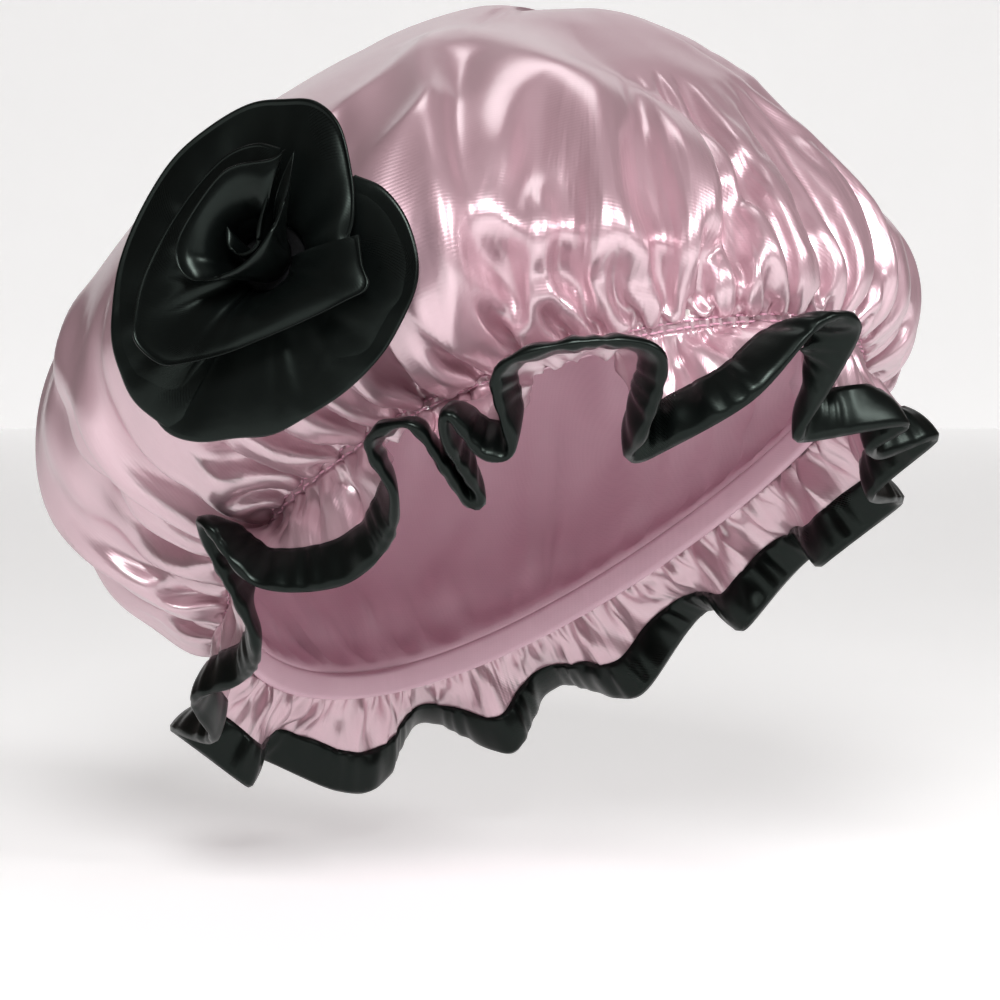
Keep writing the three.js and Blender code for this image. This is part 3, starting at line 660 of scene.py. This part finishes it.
def coated_lining():
    """Closely woven cloth with a thin waterproof coat, duller than the satin."""
    material, shader, start = new_finish("coated_lining", Specular_IOR_Level=0.35, Coat_Roughness=0.5)
    place = start.place()
    cloudy = start.noise(place, 60.0, 3.0)
    weave = start.lines(place, 0.7 * MM, "X") * start.lines(place, 0.7 * MM, "Z")
    feed(shader, Base_Color=(cloudy * 0.7 + weave * 0.2).blend(LINING_PINK, LINING_SHADE))
    feed(shader, Roughness=0.5 + 0.15 * cloudy)
    feed(shader, Coat_Weight=0.1 + 0.1 * cloudy)
    feed(shader, Normal=start.bump(cloudy + weave * 0.1, 0.4 * MM, 0.3))
    return material


lining_finish = coated_lining()
lining_form = crown_grid(LINING_COLUMNS, LINING_ROWS)
lining_angle, lining_climb, lining_smooth, lining_normal, lining_whole = lining_form
lining_in = slack_folds(lining_smooth) * 0.6 - LINING_ROOM * smooth(lining_climb, -4 * MM, 26 * MM)
lining_in += 0.9 * gathers(lining_angle, lining_climb + LINING_FOOT) - LINING_BACK
lining_points = lining_smooth + lining_in[..., None] * lining_normal
lining_foot = off_loop(lining_angle, LINING_OUT, LINING_SEAM + 0.6 * lining_climb)
lining_share = smooth(lining_climb, 2 * MM, 12 * MM)[..., None]
lining_points = lining_foot + lining_share * (lining_points - lining_foot)
lining_flat = LINING_CUT * flat_cut(lining_angle, lining_climb, lining_whole)
lining_map = np.concatenate([lining_flat, lining_flat[:1]], 0)
lining = grid_piece("lining", lining_points, lining_map, lining_finish, pole=lining_points[:, -1].mean(0))
thicken(lining, LINING_WALL)
stretches(lining, "coated_lining", "crown_lining")

# Casing
# A folded tape on the inside of the seam. It makes the channel that the elastic lies in.
CASING_SECTION = [
    (1.2, 3.5), (0.7, 3.9), (0, 3.8), (-0.5, 3.3), (-0.7, 2.4), (-0.75, 0),
    (-0.7, -2.4), (-0.5, -3.3), (0, -3.8), (0.7, -3.9), (1.2, -3.5),
]
CASING_COLUMNS = 480
LAP_ROOM = 1.5 * MM
CASING_WALL = 0.3 * MM
casing_angle = turns(CASING_COLUMNS)
casing_pucker = 0.16 * gathers(casing_angle, 0)
casing_lap = np.exp(-((np.abs(np.abs(casing_angle) - np.pi) / 0.2) ** 6)) * LAP_ROOM
casing_in = np.abs(casing_pucker) + casing_lap
casing_points = np.stack([
    off_loop(casing_angle, out * MM - casing_in * (out < 0), up * MM) for out, up in CASING_SECTION
], 1)
casing_across = np.append(0, np.cumsum(np.linalg.norm(np.diff(CASING_SECTION, axis=0), axis=1))) * MM
casing_run = np.linspace(0, 0.6, CASING_COLUMNS + 1)
casing_map = np.stack(np.meshgrid(casing_run, casing_across, indexing="ij"), -1)
casing = grid_piece("casing", casing_points, casing_map, lining_finish)
thicken(casing, CASING_WALL)
stretches(casing, "coated_lining", "elastic_casing")

# Stitches
# Two rows of lockstitch in matching thread hold the casing, and the lower one also holds the frill.
STITCH_PITCH = 2.6 * MM
STITCH_LENGTH = 2.1 * MM
THREAD_RADIUS = 0.3 * MM
STITCH_ROWS = {"upper_stitching": -0.3 * MM, "lower_stitching": -2.0 * MM}
STITCH_OUT = 0.25 * MM
THREAD_PINK = (0.8, 0.46, 0.58, 1)
THREAD_SHADE = (0.6, 0.28, 0.4, 1)


def twisted_thread(name, light, shade):
    """Spun polyester thread, with the slant of its twist."""
    material, shader, start = new_finish(name, Roughness=0.55, Sheen_Weight=0.2)
    place = start.place()
    twist = start.lines(place, 0.35 * MM, "DIAGONAL")
    feed(shader, Base_Color=(twist * 0.6 + start.noise(place, 300.0) * 0.4).blend(shade, light))
    feed(shader, Normal=start.bump(twist, 0.06 * MM, 0.5))
    return material


def stitch_tree():
    """Nodes that lay one stitch at every pitch along a closed line, turned to follow it."""
    tree = bpy.data.node_groups.new("stitches", "GeometryNodeTree")
    tree.interface.new_socket("Line", in_out="INPUT", socket_type="NodeSocketGeometry")
    for name in ("Pitch", "Length", "Radius"):
        tree.interface.new_socket(name, in_out="INPUT", socket_type="NodeSocketFloat")
    tree.interface.new_socket("Thread", in_out="INPUT", socket_type="NodeSocketMaterial")
    tree.interface.new_socket("Stitches", in_out="OUTPUT", socket_type="NodeSocketGeometry")
    start = Wire(tree)
    given = tree.nodes.new("NodeGroupInput")
    names = ("Line", "Pitch", "Length", "Radius", "Thread")
    sizes = {name: Wire(tree, given.outputs[name]) for name in names}
    curve = start.node("GeometryNodeMeshToCurve", {}, {"Mesh": sizes["Line"]})
    spacing = {"Curve": curve, "Length": sizes["Pitch"]}
    points = start.node("GeometryNodeCurveToPoints", {"mode": "LENGTH"}, spacing)
    tangent = Wire(tree, points.socket.node.outputs["Tangent"])
    turn = start.node("FunctionNodeAlignRotationToVector", {"axis": "Z"}, {"Vector": tangent})
    ball = start.node("GeometryNodeMeshUVSphere", {}, {"Segments": 6, "Rings": 5, "Radius": 1.0})
    half = sizes["Length"] * 0.5
    scale = start.node("ShaderNodeCombineXYZ", {}, {0: sizes["Radius"], 1: sizes["Radius"], 2: half})
    laid = {"Points": points, "Instance": ball, "Rotation": turn, "Scale": scale}
    placed = start.node("GeometryNodeInstanceOnPoints", {}, laid)
    real = start.node("GeometryNodeRealizeInstances", {}, {"Geometry": placed})
    dyed = start.node("GeometryNodeSetMaterial", {}, {"Geometry": real, "Material": sizes["Thread"]})
    leaving = tree.nodes.new("NodeGroupOutput")
    tree.links.new(dyed.socket, leaving.inputs["Stitches"])
    return tree


def grown(name, tree, line, values):
    """A plain mesh of what a node tree makes of a closed line."""
    mesh = bpy.data.meshes.new(name)
    count = len(line)
    mesh.from_pydata(line.tolist(), [(i, (i + 1) % count) for i in range(count)], [])
    carrier = show(name + "_line", mesh)
    modifier = carrier.modifiers.new("nodes", "NODES")
    modifier.node_group = tree
    for item in tree.interface.items_tree:
        if item.name in values:
            modifier[item.identifier] = values[item.name]
    ready = carrier.evaluated_get(bpy.context.evaluated_depsgraph_get())
    piece = show(name, bpy.data.meshes.new_from_object(ready))
    bpy.data.objects.remove(carrier)
    return piece


stitches_tree = stitch_tree()
pink_thread = twisted_thread("pink_thread", THREAD_PINK, THREAD_SHADE)
stitch_sizes = {"Pitch": STITCH_PITCH, "Length": STITCH_LENGTH, "Radius": THREAD_RADIUS}
stitch_sizes["Thread"] = pink_thread
stitch_angle = turns(CROWN_COLUMNS)
stitch_lift = seam_lift(stitch_angle)
for stitch_name, stitch_height in STITCH_ROWS.items():
    stitch_line = off_loop(stitch_angle, SEAM_OUT + stitch_lift + STITCH_OUT, stitch_height)
    stitches = grown(stitch_name.replace("ing", "es"), stitches_tree, stitch_line, stitch_sizes)
    stretches(stitches, "pink_thread", stitch_name)

# Frill
# A strip of the same satin, sewn in below the elastic. Its hem is far longer than the seam, so it
# stands in ruffles. Each row below is a place on the hem: degrees round the loop, then millimetres
# outwards, leftwards and down.
FRILL_HEM = [
    (-178, 4, 0, 29), (-168, 20, 3, 20), (-157, 3, 0, 30), (-146, 21, -2, 19), (-134, 4, -2, 29),
    (-124, 10, 3, 27), (-115, 1, 3, 29), (-107, 4, 8, 28), (-101, 20, 12, 5), (-95.5, 25, 10, 4),
    (-91, 16, 0, 21), (-82, 6, 0, 30), (-75, 6, 6, 28), (-69, 15, 9, 20), (-66, 23, 7, 6),
    (-61.5, 24, 11, 6), (-59.5, 17, 7, 17), (-58, 8, 2, 27), (-54.5, 9, 0, 27),
    (-52.5, 23, -1, 12), (-51, 28, 1, 6), (-47.5, 21, -4, 17), (-43.5, 20, -4, 18),
    (-39, 28, -8, -2), (-33, 29, 3, -3), (-29.5, 27, 12, 4), (-28, 14, 2, 22), (-25.5, 3, -6, 28),
    (-22, 2, -4, 29), (-14, 18, 6, 18), (-6, 19, 15, 0), (2, 19, 14, 0), (8, 10, 6, 14),
    (12, 2, 0, 27), (17, 0, -1, 29), (28, 17, 4, 22), (34, 7, -1, 28), (40, 7, 1, 28),
    (48, 20, 0, 20), (61, 3, 0, 30),
    (75, 19, 0, 23), (88, 3, 0, 30), (99, 24, 3, 17), (110, 3, 0, 30), (121, 25, -3, 16),
    (132, 3, 0, 30), (143, 23, 3, 18), (154, 3, 0, 30), (165, 24, -3, 17), (174, 6, 0, 29),
]
FRILL_WIDTH = 31 * MM
FRILL_NECK = 5 * MM
FRILL_BOW = 0.15
FRILL_COLUMNS = 960
FRILL_ROWS = 16
FRILL_WALL = 0.5 * MM
FRILL_FADE = (10 * MM, 26 * MM)


def evenly(values, line, count, closed=False):
    """Values along a line, taken again at even distances."""
    steps = np.linalg.norm(np.diff(line, axis=0), axis=1)
    run = np.append(0, np.cumsum(steps))
    wanted = np.linspace(0, run[-1], count, endpoint=not closed)
    return np.stack([np.interp(wanted, run, column) for column in values.T], -1), run[-1]


def hem_points(route):
    """Places on the hem, from rows of degrees, millimetres outwards, leftwards and down."""
    origin, along, out, up = loop_frame(np.radians(route[:, 0]))
    seam = origin + SEAM_OUT * out + BAND_LOW * up
    edge = seam + MM * (route[:, 1:2] * out + route[:, 2:3] * along - route[:, 3:4] * up)
    return seam, edge, up


def grid_normals(points, ring):
    """Directions square to a grid of points."""
    if ring:
        across = np.roll(points, -1, 0) - np.roll(points, 1, 0)
    else:
        across = np.gradient(points, axis=0)
    return unit(np.cross(across, np.gradient(points, axis=1)))


hem_rows = np.array(FRILL_HEM, float)
full_turn = np.array([360, 0, 0, 0])
hem_fine = through(np.vstack([hem_rows[-1:] - full_turn, hem_rows, hem_rows[:2] + full_turn]), closed=True)
hem_fine = np.vstack([hem_fine, hem_fine[:1] + full_turn])
hem_route, hem_length = evenly(hem_fine, hem_points(hem_fine)[1], FRILL_COLUMNS, closed=True)
frill_seam, frill_edge, frill_up = hem_points(hem_route)
frill_angle = np.radians(hem_route[:, 0])
frill_share = np.linspace(0, 1, FRILL_ROWS)
frill_neck = frill_seam - FRILL_NECK * frill_up
frill_bow = 0.45 * frill_neck + 0.55 * frill_edge + FRILL_BOW * MM * hem_route[:, 1:2] * frill_up
frill_line = [corner[:, None] for corner in (frill_seam, frill_neck, frill_bow, frill_edge)]
frill_points = bezier(*frill_line, np.repeat(frill_share[None], FRILL_COLUMNS, 0))
frill_grid_angle = np.repeat(frill_angle[:, None], FRILL_ROWS, 1)
frill_drop = np.repeat(frill_share[None] * FRILL_WIDTH, FRILL_COLUMNS, 0)
frill_lift = gathers(frill_grid_angle, frill_drop) * (1 - smooth(frill_drop, *FRILL_FADE))
frill_points = frill_points - frill_lift[..., None] * grid_normals(frill_points, True)
frill_run = np.arange(FRILL_COLUMNS + 1) / FRILL_COLUMNS * hem_length
frill_map = np.stack(np.meshgrid(frill_run, frill_share * FRILL_WIDTH, indexing="ij"), -1)
frill = grid_piece("frill_strip", frill_points[:, ::-1], frill_map[:, ::-1], satin_finish)
# Painted shade in the frill's gather valleys near the seam, fading out towards the hem.
add_painted_shade(frill, np.clip(0.3 - frill_lift / (3 * MM), 0, 0.6)[:, ::-1] * (1 - frill_share[None, ::-1]))
add_gathers(frill, frill_grid_angle[:, ::-1], -frill_drop[:, ::-1])
thicken(frill, FRILL_WALL)
stretches(frill, "pink_satin", "frill")

# Edge binding
# Black satin bias tape, folded over the frill's hem so that it shows on both faces as a soft rounded edge.
BINDING_WIDTH = 12 * MM
BINDING_PROUD = 1.3 * MM
BINDING_FLAT = 0.45 * MM
BINDING_TIP = 0.9 * MM
BINDING_ROWS = 9
SATIN_BLACK = (0.001, 0.0012, 0.0012, 1)
SATIN_GREY = (0.003, 0.0042, 0.004, 1)
SATIN_GLEAM = (0.8, 1.0, 0.9, 1)


def black_satin():
    """The same satin in black, which shows a green-grey gleam along its folds."""
    material, shader, start = new_finish(
        "black_satin", Specular_IOR_Level=0.22, Specular_Tint=SATIN_GLEAM, Anisotropic=0.4,
        Coat_Roughness=0.3)
    cut = start.node("ShaderNodeUVMap", {"uv_map": "cut"})
    place = start.place()
    twill = start.lines(cut, 0.75 * TWILL_PITCH, "DIAGONAL")
    cloudy = start.noise(place, 40.0, 3.0)
    crumple = start.noise(place, 170.0, 3.0)
    feed(shader, Base_Color=(cloudy * 0.6 + twill * 0.3).blend(SATIN_BLACK, SATIN_GREY))
    feed(shader, Roughness=0.22 + 0.14 * cloudy + 0.04 * twill)
    feed(shader, Coat_Weight=0.02 + 0.04 * cloudy)
    fine = start.bump(twill, 0.03 * MM, 0.1)
    feed(shader, Normal=start.bump(crumple, 0.5 * MM, 0.2, fine))
    return material


black_finish = black_satin()
hem_normal = grid_normals(frill_points, True)
hem_reach = np.linalg.norm(np.diff(frill_points[:, ::-1], axis=1), axis=2)
hem_reach = np.concatenate([np.zeros((FRILL_COLUMNS, 1)), np.cumsum(hem_reach, 1)], 1)
binding_back = BINDING_WIDTH * np.linspace(1, 0, BINDING_ROWS)
binding_middle = np.empty((FRILL_COLUMNS, BINDING_ROWS, 3))
binding_side = np.empty((FRILL_COLUMNS, BINDING_ROWS, 3))
for axis in range(3):
    for column in range(FRILL_COLUMNS):
        run = hem_reach[column]
        binding_middle[column, :, axis] = np.interp(binding_back, run, frill_points[column, ::-1, axis])
        binding_side[column, :, axis] = np.interp(binding_back, run, hem_normal[column, ::-1, axis])
binding_side = unit(binding_side)
binding_round = np.sin(np.pi * np.linspace(0.06, 0.86, BINDING_ROWS)) ** 0.7
binding_swell = BINDING_FLAT + BINDING_PROUD * binding_round
hem_run = np.arange(FRILL_COLUMNS) / FRILL_COLUMNS * 2 * np.pi
binding_waver = np.sin(151 * hem_run + 2 * np.sin(37 * hem_run))
binding_crease = 1 + 0.16 * binding_waver + 0.14 * np.sin(89 * hem_run + 1)
binding_swell = binding_swell[None, :, None] * binding_crease[:, None, None]
hem_tip = unit(binding_middle[:, -1] - binding_middle[:, -2])
binding_tip = binding_middle[:, -1:] + hem_tip[:, None] * BINDING_TIP
binding_points = np.concatenate([
    binding_middle + binding_swell * binding_side,
    binding_tip,
    (binding_middle - binding_swell * binding_side)[:, ::-1],
], 1)
binding_across = np.linspace(0, 2 * BINDING_WIDTH, binding_points.shape[1] + 1)
binding_map = np.stack(np.meshgrid(frill_run, binding_across, indexing="ij"), -1)
binding = grid_piece("binding", binding_points[:, ::-1], binding_map[:, ::-1], black_finish, tube=True)
stretches(binding, "black_satin", "edge_binding")

# Rose seat
# The rose hangs on a short shank of wound black thread, sewn through a felt disc that holds its petals.
THREAD_BLACK = (0.006, 0.006, 0.007, 1)
THREAD_GREY = (0.02, 0.02, 0.022, 1)
FELT_BLACK = (0.002, 0.002, 0.002, 1)
FELT_GREY = (0.007, 0.007, 0.008, 1)


def black_felt():
    """Pressed fibres without a weave."""
    material, shader, start = new_finish("black_felt", Roughness=0.9, Specular_IOR_Level=0.1)
    place = start.place()
    fibres = start.noise(place, 900.0, 6.0)
    feed(shader, Base_Color=fibres.blend(FELT_BLACK, FELT_GREY))
    feed(shader, Normal=start.bump(fibres, 0.4 * MM, 0.5))
    return material


dress(frame["nodes"]["rose_shank"], twisted_thread("black_thread", THREAD_GREY, THREAD_BLACK))
dress(frame["nodes"]["rose_backing"], black_felt())

# Rose
# A long strip of black satin, folded double and wound loosely round its own end, with its raw edge
# sewn to a felt disc. Each wrap is a petal, and its folded edge is the rim. Rims are places across
# the rose and above the crown, in millimetres.
PETAL_WALL = 1.2 * MM
PETAL_COLUMNS = 150
PETAL_ROWS = 22
PETAL_FOOT_HEIGHT = 6.2
PETAL_FOOT_SHARE = 0.4
PETAL_CREASE = 0.45
PETAL_TIP = 0.5
BUD_RIM = [
    (6.5, 25, 20), (5.7, 18.5, 21), (4.1, 12.1, 21), (2.5, 5, 20), (-2, 2.5, 19), (-6, 5, 18), (-7, 10, 17),
]
INNER_RIM = [
    (10.3, 27.1, 24), (6.7, 24.8, 24), (-2.1, 23.3, 24), (-7.1, 20.1, 24), (-13.2, 11.8, 24),
    (-16.7, 4.8, 24), (-16.2, -0.5, 24), (-12.6, -4, 24), (-6.2, -3.7, 24), (1.2, -0.1, 24),
    (7.3, 7.2, 24), (10.8, 15.4, 24), (12.1, 22.4, 24), (12.5, 27, 23.5),
]
MIDDLE_RIM = [
    (7.5, 27.9, 20), (1.1, 29, 20), (-7.1, 26.1, 19), (-15.7, 17.8, 18), (-23.7, 6.5, 17),
    (-28.9, -4.2, 16.5), (-30.8, -13.8, 16), (-30, -19.2, 16), (-23.3, -24.1, 16), (-16.2, -23.7, 16.5),
    (-6, -21.2, 17), (2.8, -17.8, 17), (15.2, -12.7, 17.5), (24.5, -8.4, 18), (30, -4.9, 17),
    (27.9, 0.9, 16), (26.1, 7.9, 14),
]
LEFT_RIM = [
    (22.8, 7, 12), (24, 13.2, 12), (23, 22.6, 12), (19.5, 34.4, 12), (12.9, 40.3, 11.5), (4.6, 41, 11),
    (-4.9, 39.8, 11), (-15.7, 33.9, 11), (-25.1, 25.6, 11), (-33.1, 13, 10.5), (-38, 0.9, 10),
    (-39.9, -10.5, 9), (-39.9, -18.3, 8.5), (-37.7, -25.5, 8), (-33.5, -33.3, 7), (-23.5, -40.6, 5.2),
]
RIGHT_RIM = [
    (-31.5, -33.5, 5.5), (-25.5, -40.2, 5.3), (-17.3, -42.4, 5.2), (-7, -41.2, 5), (2, -40.2, 5),
    (10.8, -35.8, 5.5), (21.4, -29.1, 6), (30.5, -20.1, 6.5), (36.4, -10, 7), (39, -2.3, 7),
    (38.4, 5.3, 7), (35, 13.5, 7), (29.1, 20, 7), (21.8, 23, 7),
]
PETALS = {
    "rose_bud": {"rim": BUD_RIM, "foot": 2.5, "middle": (0, 6), "curl": 1},
    "rose_inner_petal": {"rim": INNER_RIM, "foot": 6.5, "middle": (-2, 9), "curl": 1},
    "rose_middle_petal": {"rim": MIDDLE_RIM, "foot": 7, "middle": (-2, 4), "curl": 2.5},
    "rose_left_petal": {"rim": LEFT_RIM, "foot": 11.5, "middle": (-2, 2), "curl": 3},
    "rose_right_petal": {"rim": RIGHT_RIM, "foot": 14, "middle": (0, 0), "curl": 3},
}

rose_joint = next(joint for joint in frame["joints"] if joint["name"] == "rosette_turn")
rose_place = np.array(rose_joint["pos_m"])
rose_front = unit(np.array(rose_joint["axis"], float))
rose_across = unit(np.cross([0.0, 0.0, 1.0], rose_front))
rose_upwards = np.cross(rose_front, rose_across)


def on_rose(places):
    """Points of the part, from places across the rose, up it and out of the crown, in millimetres."""
    places = np.asarray(places, float) * MM
    return rose_place + places @ np.stack([rose_across, rose_upwards, rose_front])


def petal_piece(name, rim, foot, middle, curl):
    """One wrap of the strip. Its front layer rises from the sewn foot and opens outwards to the folded rim,
    and its back layer falls from there like the outside of a cup, so that the fold stays soft and full."""
    fine = through(rim)
    line, length = evenly(fine, fine, PETAL_COLUMNS)
    bearing = np.arctan2(line[:, 1] - middle[1], line[:, 0] - middle[0])
    base = np.stack([foot * np.cos(bearing), foot * np.sin(bearing), 0 * bearing + PETAL_FOOT_HEIGHT], -1)
    base[:, 0] += middle[0] * PETAL_FOOT_SHARE
    base[:, 1] += middle[1] * PETAL_FOOT_SHARE
    opening = (line - base) * [1, 1, 0]
    climb = (line - base) * [0, 0, 1]
    front = [base, base + 0.8 * climb, base + 0.6 * opening + climb + [0, 0, curl], line]
    back = [base, base + 0.45 * opening + 0.1 * climb, base + 0.9 * opening + 0.5 * climb, line]
    share = np.repeat(np.linspace(0, 1, PETAL_ROWS)[None], PETAL_COLUMNS, 0)
    sheet = bezier(*[corner[:, None] for corner in front], share)
    slack = bezier(*[corner[:, None] for corner in back], share) - sheet
    run = np.linspace(0, length, PETAL_COLUMNS)[:, None]
    seed = len(name)
    crease = np.sin(run / 4.3 + seed + 2 * np.sin(run / 11))
    crease = crease + 0.4 * np.sin(run / 2.7 + 2 * seed + 3 * np.sin(run / 7))
    side = grid_normals(sheet, False)
    wavy = PETAL_CREASE * crease * np.sin(np.pi * share) ** 0.6 * (1 - share * 0.6)
    sheet = sheet + side * wavy[..., None]
    ends = np.sin(np.pi * np.linspace(0, 1, PETAL_COLUMNS)) ** 0.25
    wall = PETAL_WALL / MM / 2 * ends[:, None, None] * (0.6 + 0.4 * np.sin(np.pi * share))[..., None]
    tip = sheet[:, -1:] + unit(sheet[:, -1:] - sheet[:, -2:-1]) * PETAL_TIP
    behind = sheet + ends[:, None, None] * slack - wall * side
    faces = np.concatenate([sheet + wall * side, tip, behind[:, ::-1]], 1)
    height = np.linalg.norm(np.diff(sheet, axis=1), axis=2).sum(1).mean()
    across = np.linspace(0, 2 * height, faces.shape[1] + 1) * MM
    cut = np.stack(np.meshgrid(np.append(run[:, 0], length) * MM, across, indexing="ij"), -1)
    satin_name = name.replace("rose", "satin")
    piece = grid_piece(satin_name, on_rose(faces), cut, black_finish, ring=False, tube=True)
    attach(piece, "rosette")
    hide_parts(name)
    height * MM


for petal_name, petal in PETALS.items():
    petal_piece(petal_name, **petal)

# Studio
# A pale floor under the cap and a pale backdrop behind it, one soft light from the upper left,
# a smaller one from the right, one from above, and the camera at the picture's viewing angle.
FLOOR_SIZE = 8.0
FLOOR_ROOM = 20 * MM
FLOOR_GLOW = 0.36
BACKDROP_SIZE = 2.4
BACKDROP_BEHIND = 2.0
BACKDROP_GLOW = 0.32
PAPER_DULL = (0.86, 0.86, 0.86, 1)
PAPER_PALE = (0.9, 0.9, 0.9, 1)
LIGHTS = {
    "key": {"place": (-0.75, -1.05, 0.8), "target": (0, 0, 0.04), "size": 0.45, "power": 18},
    "side": {"place": (0.45, -1.3, 0.75), "target": (0, 0, 0.05), "size": 0.4, "power": 9},
    "top": {"place": (0.1, 0.2, 1.4), "target": (0, 0, 0.05), "size": 0.6, "power": 2},
}
ROOM_COLOUR = (1, 0.8, 0.74, 1)
ROOM_LIGHT = 0.09
PIXELS = 1000
PIXELS_PER_METRE = 3630
CAMERA_AZIMUTH = math.radians(-35)
CAMERA_ELEVATION = math.radians(5)
CAMERA_DISTANCE = 1.0
CAMERA_ASIDE = -11.02 * MM
CAMERA_LOWER = -4.96 * MM
SENSOR = 36.0


def area_light(name, place, target, size, power):
    """A round soft light that faces its target."""
    data = bpy.data.lights.new(name, "AREA")
    data.shape = "DISK"
    data.size = size
    data.energy = power
    light = show(name, data)
    light.location = place
    light.rotation_euler = (Vector(target) - Vector(place)).to_track_quat("-Z", "Y").to_euler()


def pale_sheet(name, corners, glow):
    """A flat pale sheet of paper with a faint grain."""
    material, shader, start = new_finish(
        name, Roughness=0.85, Specular_IOR_Level=0.1, Emission_Strength=glow)
    grain = start.noise(start.place(), 12.0)
    feed(shader, Base_Color=grain.blend(PAPER_DULL, PAPER_PALE))
    mesh = bpy.data.meshes.new(name)
    mesh.from_pydata([tuple(corner) for corner in corners], [], [(0, 1, 2, 3)])
    mesh.materials.append(material)
    sheet = show(name, mesh)


camera_right = Vector((math.cos(CAMERA_AZIMUTH), math.sin(CAMERA_AZIMUTH), 0))
camera_back = Vector((
    math.sin(CAMERA_AZIMUTH) * math.cos(CAMERA_ELEVATION),
    -math.cos(CAMERA_AZIMUTH) * math.cos(CAMERA_ELEVATION),
    math.sin(CAMERA_ELEVATION),
))
camera_up = camera_back.cross(camera_right)
floor_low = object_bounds()[0].z - FLOOR_ROOM
half_floor = FLOOR_SIZE / 2
floor_signs = [(-1, -1), (1, -1), (1, 1), (-1, 1)]
pale_sheet("floor", [(x * half_floor, y * half_floor, floor_low) for x, y in floor_signs], FLOOR_GLOW)
backdrop_foot = Vector((-camera_back.x, -camera_back.y, 0)).normalized() * BACKDROP_BEHIND
backdrop_foot = backdrop_foot + Vector((0, 0, floor_low))
backdrop_side = camera_right * BACKDROP_SIZE / 2
backdrop_top = Vector((0, 0, BACKDROP_SIZE))
pale_sheet("backdrop", [
    backdrop_foot - backdrop_side, backdrop_foot + backdrop_side,
    backdrop_foot + backdrop_side + backdrop_top, backdrop_foot - backdrop_side + backdrop_top,
], BACKDROP_GLOW)

for light_name, light in LIGHTS.items():
    area_light(light_name, **light)
world = bpy.data.worlds.new("studio")
bpy.context.scene.world = world
world.use_nodes = True
world.node_tree.nodes["Background"].inputs["Color"].default_value = ROOM_COLOUR
world.node_tree.nodes["Background"].inputs["Strength"].default_value = ROOM_LIGHT
bpy.context.scene.view_settings.view_transform = "Standard"

camera_data = bpy.data.cameras.new("camera")
camera_data.sensor_width = SENSOR
camera_data.lens = SENSOR * PIXELS_PER_METRE * CAMERA_DISTANCE / PIXELS
camera = show("camera", camera_data)
camera.location = CAMERA_DISTANCE * camera_back + CAMERA_ASIDE * camera_right + CAMERA_LOWER * camera_up
camera.rotation_euler = (-camera_back).to_track_quat("-Z", "Y").to_euler()
bpy.context.scene.camera = camera
